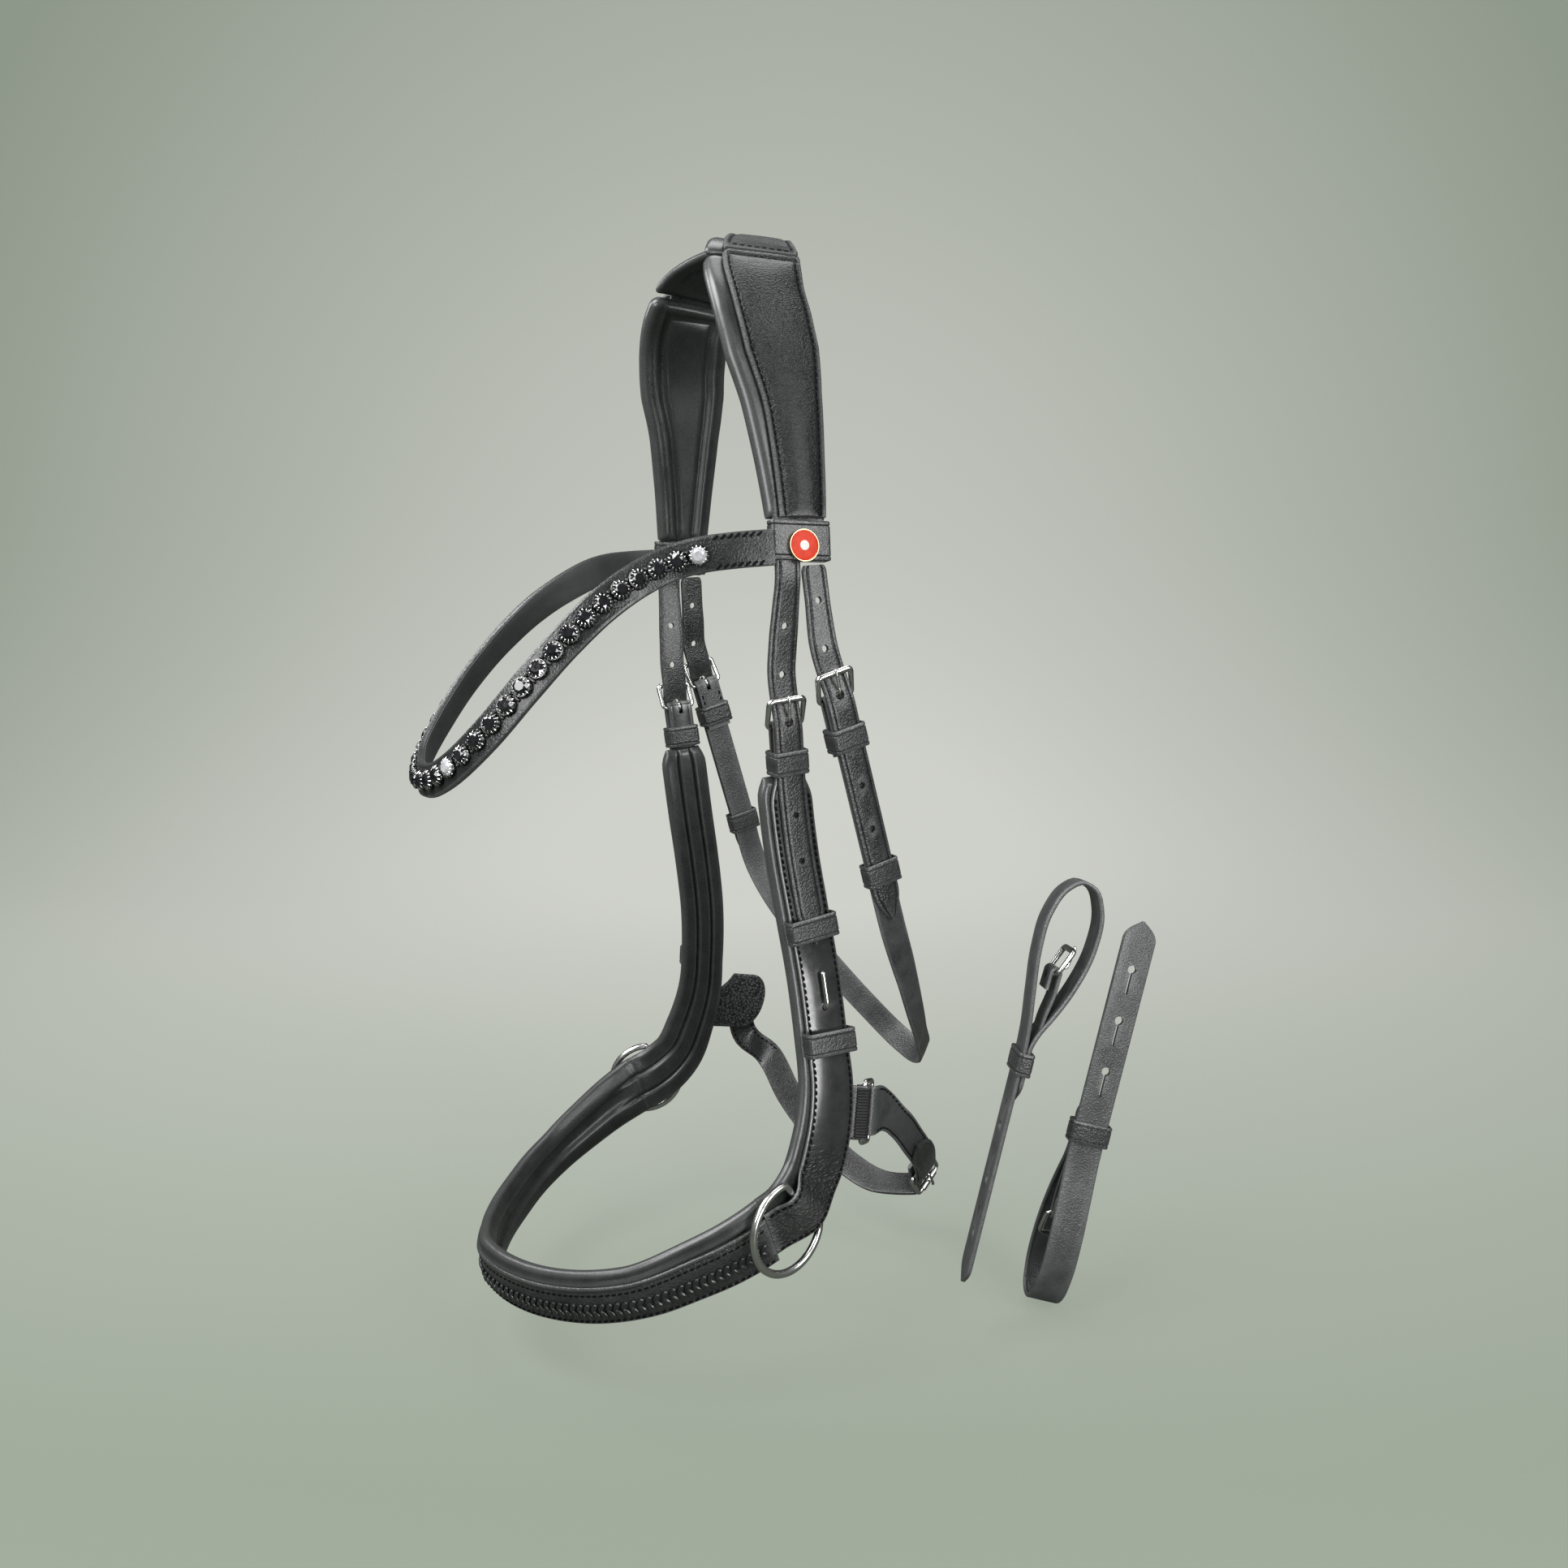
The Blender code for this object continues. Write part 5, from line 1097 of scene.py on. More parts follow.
level = BROWBAND_THICK / 2 + STONE_SEAT
steps = int((BROW_MIDDLE - STONES_START) / STONE_PITCH)
seats = []
for k in range(-steps, steps + 1):
    point, along, across, normal = BROW.at(BROW_MIDDLE + k * STONE_PITCH)
    seats.append(frame_matrix(point + normal * level, along, across, normal))
radius = 1.05 * STONE_DIAMETER / 2
cup = ((0.84, -0.0009), (0.98, -0.0002), (1.0, 0.0010), (0.92, 0.0018), (0.80, 0.0017))
cup = turned([(r * radius, z) for r, z in cup], 40)
stand(many("stone_settings", cup, seats, DARK_METAL), "browband_stones", "metal")
claws = []
for seat in seats:
    for k in range(CLAWS):
        turn = Matrix.Rotation(math.tau * (k + 0.5) / CLAWS, 4, "Z")
        lean = Matrix.Translation((0.81 * radius, 0.0, 0.0019)) @ Matrix.Rotation(math.radians(38), 4, "Y")
        claws.append(seat @ turn @ lean)
stand(many("stone_claws", capsule(0.0024, 0.00075, 0.0008, 6), claws, NICKEL), "browband_stones", "metal")
beads = []
for a, b in zip(seats, seats[1:]):
    for side in (-1, 1):
        spot = (a.translation + b.translation) / 2 + a.col[1].to_3d() * side * 0.0027
        beads.append(Matrix.Translation(spot + a.col[2].to_3d() * 0.0006) @ a.to_3x3().to_4x4())
stand(many("stone_beads", capsule(0.0018, 0.0018, 0.0018, 8), beads, DARK_STONE), "browband_stones", "stones")
stone = cut_stone(0.87 * radius, 0.0015, STONE_HEIGHT)
# pale stones at both ends and PALE_STEP in from each end: partly real pale stones, partly painted reflections on dark
# stones
pale = (0, PALE_STEP, len(seats) - 1 - PALE_STEP, len(seats) - 1)
dark = [seat for i, seat in enumerate(seats) if i not in pale]
stand(many("dark_stones", stone, dark, DARK_STONE, 1.0), "browband_stones", "stones")
stand(many("pale_stones", stone, [seats[i] for i in pale], PALE_STONE, 1.0), "browband_stones", "stones")

face = BILLET_THICK / 2 + LOOP_PLAY + KEEPER_WALL + CLEARANCE
seat = CROWN.matrix(loop_at + CONCHO_DROP, face) @ Matrix.Rotation(math.radians(-90), 4, "X")
radius = CONCHO_DIAMETER / 2
for name, mat, slot, sides, profile in (
        ("rim", GILT, "metal", 48,
         ((0.97, 0.0), (1.0, 0.0004), (1.0, 0.0016), (0.98, 0.0021), (0.95, 0.0021), (0.93, 0.0015))),
        ("enamel", RED, "enamel", 48, ((0.93, 0.0012), (0.92, 0.0016), (0.7, 0.00185), (0.27, 0.0020))),
        ("centre", WHITE, "enamel", 40, ((0.31, 0.0017), (0.30, 0.00212), (0.20, 0.00218), (0.07, 0.0022)))):
    shape = turned([(r * radius, z) for r, z in profile], sides)
    pair(many(f"badge_{name}_left", shape, [seat], mat), "browband_badge_left", slot)


# Cheeks
def cheek_half(s):
    wide = CHEEK_STRIP_WIDTH / 2
    return eased((0.0, HALF), (FLARE_FROM, HALF), (FLARE_TO, wide), (BEND_FROM, wide),
                 (BEND_TO, CORNER_STRIP_WIDTH / 2))(s)


def strip_lift(s):
    over_bar = PAD_FACE + RING_SEAT + CLEARANCE + 2 * RING_WIRE + STRIP_THICK / 2
    u = min(abs(s - RING_AT) / RING_SWELL, 1.0)
    return FOLD_MID + (over_bar - FOLD_MID) * 0.5 * (1 + math.cos(math.pi * u))


end = RING_AT + STRIP_PAST_RING
places = spread(0.0, end, 0.003)[1:]
fold = fold_frames(BAND, HALF, FOLD_LEG)
frames = fold + frames_on(BAND, places, strip_lift, cheek_half, STRIP_THICK)
cheek_dome = eased((BILLET_TIP_AT + 0.005, FLAT_DOME), (HOOK_AT - 0.015, FULL_DOME), (RING_AT - 0.038, FULL_DOME),
                   (RING_AT - 0.022, FLAT_DOME))
strip = sweep("cheek_strap_left", frames, CREASED, 0.0, [FLAT_DOME] * len(fold) + [cheek_dome(s) for s in places])
hook_hole = ("hole", (HOOK_WIRE + 0.0004, 0.006), BAND.matrix(HOOK_AT, FOLD_MID))
pair(cut(strip, [chape_slot(BAND), hook_hole]), "cheek_strip_left")
rows = edge_rows(BAND, spread(FLARE_TO, end - 0.002, SEW_STEP), lambda s: strip_lift(s) + STRIP_THICK / 2 + 0.00015,
                 cheek_half, STITCH_INSET)
pair(stitches("cheek_stitches_left", rows, width=0.0015), "cheek_strip_left")

for name, cad_node, at, wide, low, high in (
        ("top", "cheek_upper_keeper_left", UPPER_KEEPER_AT, HALF, ROUND_FOLD, OVER_BILLET),
        ("low", "cheek_lower_keeper_left", LOWER_KEEPER_AT, cheek_half(LOWER_KEEPER_AT), PAD_FACE, OVER_BILLET),
        ("bit", "bit_keeper_left", BIT_KEEPER_AT, cheek_half(BIT_KEEPER_AT), PAD_FACE, STRIP_OUT + BIT_KEEPER_STAND)):
    pair(keeper(f"cheek_{name}_keeper_left", BAND.matrix(at), wide, low, high), cad_node)
buckle(pair, "cheek", "_left", BAND, BILLET_WIDTH)

low = PAD_FACE - HOOK_WIRE
high = STRIP_OUT + HOOK_STAND + HOOK_WIRE
path = ((HOOK_FOOT, low), (0.0022, low), (0.0004, low + 0.0012), (0.0, FOLD_MID), (-0.0008, high - 0.0012),
        (-0.0028, high), (-0.010, high), (-HOOK_LENGTH, high))
hook = tube("cheek_hook_left", smooth_path([BAND.place(HOOK_AT + t, n) for t, n in path]), HOOK_WIRE, NICKEL)
pair(hook, "bit_hook_left", "metal")

start = UPPER_KEEPER_AT + KEEPER_HEIGHT / 2 + CLEARANCE + 0.0005
wide = CHEEK_PAD_WIDTH / 2
pad_half = eased((start, 0.66 * wide), (start + 0.003, 0.9 * wide), (start + 0.008, wide), (BEND_FROM, wide),
                 (RING_AT, CORNER_PAD_WIDTH / 2))


def cheek_lining(y):
    """Three rolls with a crease between them."""
    return PAD_FACE - CHEEK_PAD_DEPTH * (1.04 - 0.16 * y * y - 0.30 * math.exp(-((abs(y) - 0.42) / 0.07) ** 2))


def band_pad(name, low, high, half, face, lining, shift, least):
    """Padding under a stretch of the band; its ends are squeezed down to least."""
    rings = []
    for s in end_places(low, high, PAD_ROUND):
        squeeze = max(end_squeeze(s, low, high, PAD_ROUND), least(s))
        rings.append(pad_ring(BAND, s, half(s), face, lining(s), shift, squeeze, columns=32))
    return loft(name, rings, SOFT, sharp=PAD_SHARP)


padding = band_pad("cheek_padding_left", start, end, pad_half, lambda y: PAD_FACE, lambda s: cheek_lining,
                   CHEEK_PAD_SHIFT, lambda s: 0.12 if s < RING_AT else SEAM_SQUEEZE)
pair(padding, "cheek_pad_left", "padding", 0.8)

point, along, across, normal = BAND.at(RING_AT)
bar_level = PAD_FACE + RING_SEAT + RING_WIRE
bow_level = STRIP_OUT + NOSE_STRAP_THICK - STRIP_THICK + LACING_THICK + 2 * CLEARANCE + RING_WIRE
centre = point + normal * bar_level
half_bar = math.sqrt(RING_RADIUS**2 - RING_SETBACK**2)
lean = Vector((RING_SETBACK + RING_RADIUS, bow_level - bar_level)).normalized()
outward = along * lean.x + normal * lean.y
begin = math.atan2(half_bar, -RING_SETBACK)
path = []
for k in range(49):
    angle = begin - 2 * begin * k / 48
    path.append(centre + outward * (RING_SETBACK + RING_RADIUS * math.cos(angle))
                + across * (RING_ASIDE + RING_RADIUS * math.sin(angle)))
path += [path[-1].lerp(path[0], k / 8) for k in range(1, 8)]
pair(tube("nose_ring_wire_left", path, RING_WIRE, NICKEL, True, 14), "nose_ring_left", "metal")

# Noseband
start = end + CLEARANCE
finish = BAND.length - start


def tapered(at_corner, over_nose):
    shape = eased((start, at_corner), (start + NOSE_TAPER, over_nose))
    return lambda s: shape(min(s, BAND.length - s))


pad_half = tapered(CORNER_PAD_WIDTH / 2, NOSE_PAD_WIDTH / 2)
pad_shift = tapered(CHEEK_PAD_SHIFT, NOSE_PAD_SHIFT)
strap_half = tapered(CORNER_STRAP_WIDTH / 2, NOSE_STRAP_WIDTH / 2)
strap_shift = tapered(CORNER_STRAP_SHIFT, NOSE_STRAP_SHIFT)


def nose_lining(y):
    return PAD_FACE - CHEEK_PAD_DEPTH * (1.0 - 0.22 * y ** 4 - 0.36 * math.exp(-(y / 0.36) ** 4))


def blended_lining(s):
    """Takes over the cheek's rolls at the seam and eases into its own."""
    own = eased((start, 0.0), (start + 0.022, 1.0))(min(s, BAND.length - s))
    return lambda y: own * nose_lining(y) + (1 - own) * cheek_lining(y)


def nose_face(y):
    """The roll along the upper edge stands above the strap's seat."""
    return PAD_FACE + 0.0022 * math.exp(-((y + 0.80) / 0.16) ** 2)


padding = band_pad("nose_padding", start, finish, pad_half, nose_face, blended_lining, pad_shift,
                   lambda s: SEAM_SQUEEZE)
stand(padding, "nose_pad", "padding", 0.8)
level = STRIP_IN + NOSE_STRAP_THICK / 2
strip = strap("nose_strap_piece", BAND, spread(start, finish), strap_half, NOSE_STRAP_THICK, GRAINED, 0.0003,
              SLIGHT_DOME, level, strap_shift)
stand(strip, "nose_strap")
top = STRIP_IN + NOSE_STRAP_THICK
roll = [BAND.place(s, top - 0.0006, strap_shift(s) - strap_half(s) + 0.0012)
        for s in spread(start + 0.001, finish - 0.001)]
stand(tube("nose_edge_roll", roll, 0.0013, SMOOTH), "nose_strap")
places = spread(start + 0.002, finish - 0.002, SEW_STEP)
rows = [row_on(BAND, places, top + 0.0002, lambda s: strap_shift(s) - strap_half(s) + 0.0050),
        row_on(BAND, places, top + 0.0002, lambda s: strap_shift(s) + strap_half(s) - 0.0020)]
stand(stitches("nose_stitches", rows), "nose_strap")
strands = []
lacing_half = LACING_WIDTH / 2
for s in spread(start + LACING_INSET, finish - LACING_INSET, LACE_PITCH):
    for side in (-1, 1):
        point, along, across, normal = BAND.at(s)
        shift = strap_shift(s) + LACING_SHIFT + side * lacing_half * 0.5
        middle = point + across * shift + normal * (top + CLEARANCE + LACING_THICK * 0.45)
        ahead = 1 if s < BAND.length / 2 else -1
        run = (along * 0.0034 * ahead - across * side * lacing_half * 0.95).normalized()
        tilt = Matrix.Rotation(math.radians(7), 4, "Y")
        strands.append(frame_matrix(middle, run, normal.cross(run), normal) @ tilt)
stand(many("nose_lacing_strands", capsule(0.0058, 0.0030, 0.0021, 8), strands, LACE, WIRE_SHARP), "nose_lacing")

# Throatlatch
left = fold_frames(THROAT, HALF, FOLD_LEG + 0.004)
left += frames_on(THROAT, spread(0.0, THROAT.length / 2)[1:], FOLD_MID, HALF, STRIP_THICK)
whole = left + [(mirror_x(p), mirror_x(a), mirror_x(n), w, t) for p, a, n, w, t in reversed(left[:-1])]
strip = sweep("throat_strap", whole, LIT_LEATHER, 0.0, SLIGHT_DOME)
kind, sizes, matrix = chape_slot(THROAT)
stand(cut(strip, [(kind, sizes, matrix), (kind, sizes, MIRROR @ matrix @ MIRROR)]), "throatlatch_strap")
bar, along, across, normal = THROAT.at(0.0)
under = normal * (STRIP_OUT + 0.0001)
rows = [[(bar + along * s - under + across * side * (HALF - 0.002), -normal) for s in spread(0.006, FOLD_LEG, SEW_STEP)]
        for side in (1, -1)]
pair(stitches("throat_stitches_left", rows), "throatlatch_strap")
buckle(pair, "throat", "_left", THROAT, BILLET_WIDTH)
pair(keeper("throat_top_keeper_left", THROAT.matrix(THROAT_KEEPER_AT), HALF, ROUND_FOLD, OVER_BILLET),
     "throat_keeper_left")
pair(keeper("throat_loose_keeper_left", THROAT.matrix(THROAT_RUNNER_AT), HALF + 0.0004, STRIP_IN - 2 * KEEPER_PLAY,
            BILLET_OUT + 2.6 * KEEPER_PLAY, wall=0.0012), "throat_runner_left")


# Chin strap
def anchored(anchor, normal, reach):
    def outward(place):
        share = min(1.0, 1.8 * max(0.0, 1 - (place - anchor).length / reach))
        return (place - Vector(JAW_CENTRE)).normalized() * (1 - share) + normal * share
    return outward


half = CHIN_WIDTH / 2
tab_half = CHIN_TAB_HEIGHT / 2
point, along, rear, outward = BAND.at(CHIN_TAB_AT)
up = -along
pivot = BAND.place(CHIN_TAB_AT, PAD_FACE - CHIN_POCKET_PLAY - CHIN_TAB_THICK / 2)
link_lead = (rear * math.cos(LINK_LEAN) - outward * math.sin(LINK_LEAN)).normalized()
link_face = (rear * math.sin(LINK_LEAN) + outward * math.cos(LINK_LEAN)).normalized()
bar_in = pivot + rear * CHIN_TAB_REACH
bar_out = bar_in + link_lead * LINK_DEPTH
wrap = LINK_WIRE + CLEARANCE + CHIN_TAB_THICK / 2
near = [(pivot + rear * a, up, outward, tab_half, CHIN_TAB_THICK) for a in spread(-TAB_TONGUE, 0.6 * CHIN_TAB_REACH)]
near.append((pivot + rear * 0.8 * CHIN_TAB_REACH + outward * wrap * 0.6, up, outward, tab_half, CHIN_TAB_THICK))
turn_over = wrap_frames(bar_in, rear, outward, up, wrap, tab_half, CHIN_TAB_THICK)
near += turn_over
near.append((bar_in - rear * 0.003 - outward * wrap, up, -outward, tab_half, CHIN_TAB_THICK))
stand(sweep("chin_near_tab", near, SMOOTH), "chin_tab_left")
for k in range(ELASTICS):
    height = up * (k - (ELASTICS - 1) / 2) * ELASTIC_PITCH
    path = [bar_in - rear * 0.005 + outward * (wrap * 0.75 + 0.0002) + height]
    path += [centre + normal * 0.0002 + height for centre, across, normal, *size in turn_over]
    stand(tube(f"chin_elastic_{k:02d}", path, ELASTIC_RADIUS, ELASTIC, sides=8), "chin_tab_left")
path = loop_path(LINK_DEPTH, tab_half + FRAME_PLAY + LINK_WIRE, LINK_CORNER)
link = tube("chin_link_wire", [bar_in + link_lead * d + up * h for d, h in path], LINK_WIRE, NICKEL, True)
stand(link, "chin_link", "metal")

points = [Vector(p) for p in CHIN_NEAR_ROUTE] + [bar_out + link_lead * 0.010, bar_out]
NEAR = Route(points, anchored(bar_out, link_face, 0.035))
end = NEAR.length
wide = tab_half - 0.001
near_half = eased((0.0, half), (end - 0.030, half), (end - 0.008, wide))
level = LINK_WIRE + CLEARANCE + STRIP_THICK / 2
lift = table((0.0, FOLD_MID), (end - 0.015, FOLD_MID), (end, level))
frames = fold_frames(NEAR, half, CHIN_FOLD_LEG) + frames_on(NEAR, spread(0.0, end)[1:], lift, near_half, STRIP_THICK)
point, along_end, across_end, normal_end = NEAR.at(end)
frames += wrap_frames(bar_out, along_end, normal_end, across_end, level, wide, STRIP_THICK)[1:]
frames.append((bar_out - along_end * 0.008 - normal_end * level, across_end, -normal_end, wide, STRIP_THICK))
strip = sweep("chin_near_strap", frames, LIT_LEATHER, 0.0, SLIGHT_DOME)
stand(cut(strip, [chape_slot(NEAR)]), "chin_strap_near")
rows = edge_rows(NEAR, spread(0.012, end - 0.004, SEW_STEP), lambda s: lift(s) + STRIP_THICK / 2 + 0.00015,
                 near_half, 0.002)
stand(stitches("chin_near_stitches", rows), "chin_strap_near")
buckle(stand, "chin", "", NEAR, CHIN_WIDTH, BAR_RADIUS, SLEEVE)
point, along_bar, across_bar, normal_bar = NEAR.at(0.0)
roller_at = NEAR.place(-BUCKLE_REACH, BUCKLE_RISE)
outer = BAR_RADIUS + SLEEVE - 0.0003
inner = BAR_RADIUS + TONGUE_PLAY + 0.0003
long = (CHIN_WIDTH - 0.004) / 2
points, faces = turned(((inner, -long), (outer - 0.0003, -long), (outer, -long + 0.0003), (outer, long - 0.0003),
                        (outer - 0.0003, long), (inner, long)), 24)
seat = frame_matrix(roller_at, normal_bar, along_bar, across_bar)
stand(many("chin_roller_sleeve", (points, faces[:-2]), [seat], NICKEL), "chin_roller", "metal")

# Far side of the chin strap
pivot, rear, outward, up = (mirror_x(v) for v in (pivot, rear, outward, up))
round_half = FAR_TAB_HEIGHT / 2
rise = round_half - tab_half
shape = [(-TAB_TONGUE, tab_half, 0.0), (FAR_TAB_NECK * 0.8, tab_half, 0.0),
         (0.37 * FAR_TAB_REACH, 0.86 * round_half, 0.5 * rise), (0.43 * FAR_TAB_REACH, round_half, rise),
         (0.74 * FAR_TAB_REACH, round_half, rise)]
for k in range(1, 9):
    turn = math.pi / 2 * k / 8
    shape.append(((0.74 + 0.26 * math.sin(turn)) * FAR_TAB_REACH, round_half * (0.10 + 0.90 * math.cos(turn)), rise))
tab_frames = [(pivot + rear * a + up * d, up, -outward, w, CHIN_TAB_THICK) for a, w, d in shape]
stand(sweep("chin_far_tab", tab_frames, PEBBLED), "chin_tab_right")

seat = CHIN_TAB_THICK / 2 + CLEARANCE + BILLET_THICK / 2
ends = [pivot + rear * a + outward * seat - up * d for a, d in ((0.0430, 0.0205), (0.0345, 0.005), (0.0270, -0.008))]
level = front_level(BAR_RADIUS, SLEEVE)
points = [NEAR.place(s, BILLET_MID) for s in reversed(NEAR.run(0.006, CHIN_TIP_AT)[1:])]
points += [NEAR.place(0.0, BILLET_MID), NEAR.place(-BUCKLE_REACH, level),
           NEAR.place(-1.8 * BUCKLE_REACH, level - 0.0016)]
points += [Vector(p) for p in CHIN_FAR_ROUTE] + ends
FAR = Route(points, anchored(ends[1], outward, 0.080))
tip_half = pointed(half, 0.0, CHIN_POINT)
places = spread(0.0, CHIN_POINT, TIP_FINE)[:-1] + spread(CHIN_POINT, FAR.length)
strip = strap("chin_far_strap", FAR, places, lambda s: tip_half(-s) if s < CHIN_POINT else half, BILLET_THICK, SMOOTH,
              0.0, SLIGHT_DOME)
hole = tongue_hole(FAR, NEAR)
stand(cut(strip, punched(FAR, (hole, hole + HOLE_PITCH), hole)), "chin_strap_far")
rows = []
for face_side in (1, -1):
    for line in edge_rows(FAR, spread(FAR.length - 0.058, FAR.length - 0.003, SEW_STEP),
                          face_side * (BILLET_THICK / 2 + 0.00025), half, STITCH_INSET):
        rows.append([(p, n * face_side) for p, n in line])
stand(stitches("chin_far_stitches", rows), "chin_strap_far")


# Bit straps
def bit_strap(suffix, ends, face):
    foot, top = Vector(ends[0]), Vector(ends[1])
    up = (top - foot).normalized()
    out = Vector(face)
    out = (out - up * out.dot(up)).normalized()
    side = out.cross(up)
    half = BIT_WIDTH / 2

    def at(u, w):
        return foot + up * u + out * w

    def across_at(u):
        return frame_matrix(at(u, 0.0), side, out, up)

    gap = BIT_THICK + CLEARANCE
    points = [(BIT_LENGTH, 0.0), (0.175, 0.0), (0.125, 0.0)] + list(BIT_LOOP_ROUTE)
    points += [(BIT_RUNNER_AT + step, -gap) for step in (-0.009, 0.0, 0.012, 0.022)]
    route = Route([at(u, w) for u, w in points], lambda p: out)
    first, last = pointed(half, 0.0, BIT_POINT), pointed(half, route.length, BIT_POINT)
    frames = []
    places = spread(0.0, BIT_POINT, TIP_FINE)[:-1] + spread(BIT_POINT, route.length - BIT_POINT, 0.003)[:-1]
    for s in places + spread(route.length - BIT_POINT, route.length, TIP_FINE):
        point, along = route.at(s)[:2]
        wide = min(first(-s) if s < BIT_POINT else half, last(s))
        frames.append((point, side, along.cross(side), wide, BIT_THICK))
    obj = sweep(f"bit_strap_piece{suffix}", frames, LIT_LEATHER, CREASE_DEPTH, SLIGHT_DOME)
    holes = [("hole", (KEYHOLE_DIAMETER / 2, 0.008), across_at(u)) for u in KEYHOLES_AT]
    slits = [("box", (KEYHOLE_SLIT_WIDTH, 0.008, KEYHOLE_SLIT), across_at(u - KEYHOLE_SLIT / 2)) for u in KEYHOLES_AT]
    stand(cut(cut(obj, holes), slits), f"bit_strap{suffix}")
    low, high = -gap - BIT_THICK / 2 - KEEPER_PLAY, BIT_THICK / 2 + KEEPER_PLAY
    runner = keeper(f"bit_loose_keeper{suffix}", across_at(BIT_RUNNER_AT), half, low, high)
    stand(runner, f"bit_runner{suffix}")
    chape_route = Route([at(u, w) for u, w in BIT_CHAPE_ROUTE], lambda p: -out)
    frames = fold_frames(chape_route, HALF, BIT_CHAPE_LEG)
    frames += frames_on(chape_route, spread(0.0, chape_route.length)[1:], FOLD_MID, HALF, STRIP_THICK)
    chape = cut(sweep(f"bit_chape{suffix}", frames, LIT_LEATHER), [chape_slot(chape_route)])
    stand(chape, f"bit_strap{suffix}")
    buckle(stand, "bit", suffix, chape_route, BILLET_WIDTH)


bit_strap("_left", BIT_LEFT_ENDS, BIT_LEFT_FACE)
bit_strap("_right", BIT_RIGHT_ENDS, BIT_RIGHT_FACE)

# Stage, light and camera
CAMERA_AT = Vector((0.6142, -0.2736, -0.2015))
BACK = Vector((0.8909, -0.4327, 0.1382)).normalized()
RIGHT = Vector((0.4370, 0.8995, 0.0)).normalized()
UPWARD = BACK.cross(RIGHT).normalized()
FLOOR_LEVEL = cad_box[0][2] - 0.003
# painted pool of light: the paper runs from PAPER_DARK at the corners to PAPER_PALE behind the object
PAPER_DARK = (0.335, 0.385, 0.315)
PAPER_PALE = (0.70, 0.71, 0.665)
PAPER_GLOW = 0.775
PAPER_LIT = 0.2
PAPER_CENTRE = CAMERA_AT - BACK * 1.9
PAPER_REACH = (1.4, 2.0, 2.36)
PAPER_FRONT = -2.2
PAPER_FLAT = 1.0
PAPER_BEND = 0.7
PAPER_TOP = 3.0
PAPER_HALF_WIDTH = 3.5
LENS = 26.22


def backdrop_material():
    """Pale paper with a painted pool of light, palest behind the object and darker towards the corners; part of it
    glows for the eye alone, so that its shadow stays soft.
    """
    mat, tree, shader = shader_of("paper")
    turn = (0.0, 0.0, math.atan2(-BACK.y, -BACK.x))
    moved = {"Vector": object_place(tree), "Location": PAPER_CENTRE, "Rotation": turn, "Scale": PAPER_REACH}
    moved = node(tree, "Mapping", moved, vector_type="TEXTURE").outputs["Vector"]
    # painted pool of light: a spherical gradient centred behind the object
    glow = node(tree, "TexGradient", {"Vector": moved}, gradient_type="SPHERICAL").outputs["Fac"]
    colour = ramp(tree, glow, PAPER_DARK, PAPER_PALE, 0.0, 0.8)
    dim = node(tree, "Mix", {"Factor": 1.0 - PAPER_LIT, 6: colour, 7: (0.0, 0.0, 0.0, 1.0)}, data_type="RGBA")
    eye = node(tree, "LightPath").outputs["Is Camera Ray"]
    seen = node(tree, "Math", {0: eye, 1: PAPER_GLOW}, operation="MULTIPLY")
    feed(tree, shader, {
        "Base Color": dim.outputs[2], "Roughness": 0.9, "Specular IOR Level": 0.1,
        "Emission Color": colour, "Emission Strength": seen.outputs["Value"],
    })
    return mat


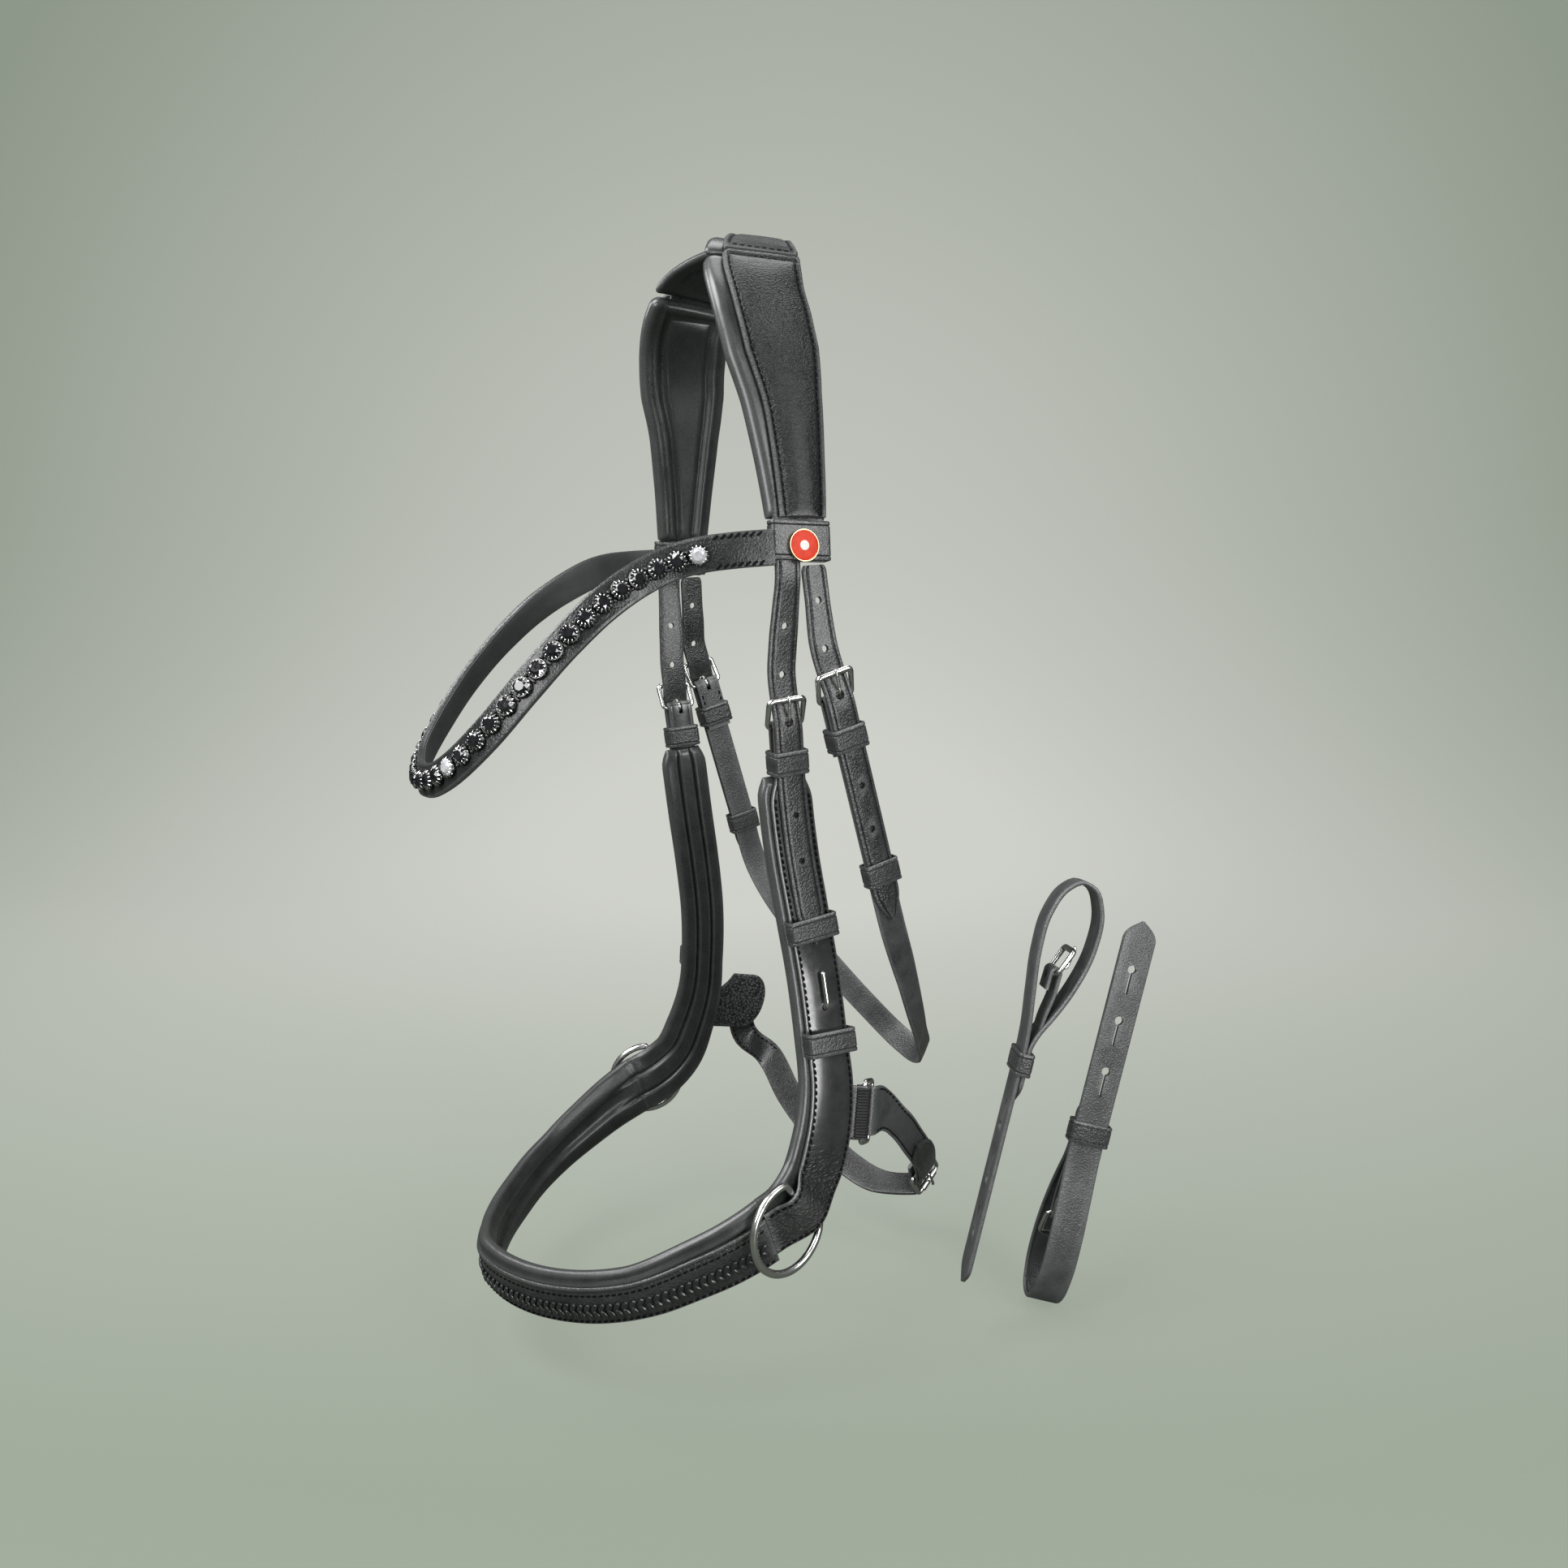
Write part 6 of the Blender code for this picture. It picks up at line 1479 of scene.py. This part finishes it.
def sheet_of_paper():
    """Floor that curves up into a backdrop behind the object, square to the view."""
    away = Vector((-BACK.x, -BACK.y, 0.0)).normalized()
    side = Vector((away.y, -away.x, 0.0))
    origin = Vector((0.0, 0.0, FLOOR_LEVEL))
    profile = [(PAPER_FRONT, 0.0), (PAPER_FLAT, 0.0)]
    profile += [(PAPER_FLAT + PAPER_BEND * math.sin(t), PAPER_BEND - PAPER_BEND * math.cos(t))
                for t in np.linspace(0.0, math.pi / 2, 16)[1:]]
    profile.append((PAPER_FLAT + PAPER_BEND, PAPER_TOP))
    verts = [origin + away * d + side * w + Vector((0.0, 0.0, h))
             for d, h in profile for w in (-PAPER_HALF_WIDTH, PAPER_HALF_WIDTH)]
    faces = [(2 * i, 2 * i + 1, 2 * i + 3, 2 * i + 2) for i in range(len(profile) - 1)]
    return mesh_object("paper_sweep", verts, faces, backdrop_material(), 80.0)


sheet_of_paper()


def lamp(name, place, target, size, power):
    data = bpy.data.lights.new(name, "AREA")
    data.shape = "DISK"
    data.size = size
    data.energy = power
    obj = put(name, data)
    obj.location = place
    obj.rotation_euler = (Vector(target) - Vector(place)).to_track_quat("-Z", "Y").to_euler()


lamp("key", CAMERA_AT + UPWARD * 1.0 - RIGHT * 0.75 - BACK * 0.1, (0.03, 0.0, -0.30), 0.8, 15.0)
lamp("fill", (0.86, 0.34, 0.10), (0.08, 0.0, -0.25), 0.55, 5.0)
lamp("front", CAMERA_AT - RIGHT * 0.45 + UPWARD * 0.2, (0.05, 0.0, -0.32), 0.4, 2.6)
lamp("low", (0.82, 0.02, -0.40), (0.10, -0.02, -0.45), 0.22, 1.6)
lamp("rim", (-0.7, -0.8, 0.45), (0.0, -0.03, -0.3), 0.5, 3.8)
lamp("top", (-0.15, 0.25, 0.9), (0.0, 0.0, -0.3), 0.9, 5.0)

world = bpy.data.worlds.new("studio")
bpy.context.scene.world = world
world.use_nodes = True
feed(world.node_tree, world.node_tree.nodes["Background"], {"Color": (0.95, 0.97, 0.96, 1.0), "Strength": 0.14})

camera = bpy.data.cameras.new("camera")
camera.lens = LENS
camera.sensor_width = 36.0
camera.clip_start = 0.01
viewpoint = put("camera", camera)
viewpoint.matrix_world = frame_matrix(CAMERA_AT, RIGHT, UPWARD, BACK)
bpy.context.scene.camera = viewpoint
bpy.context.scene.view_settings.view_transform = "Standard"
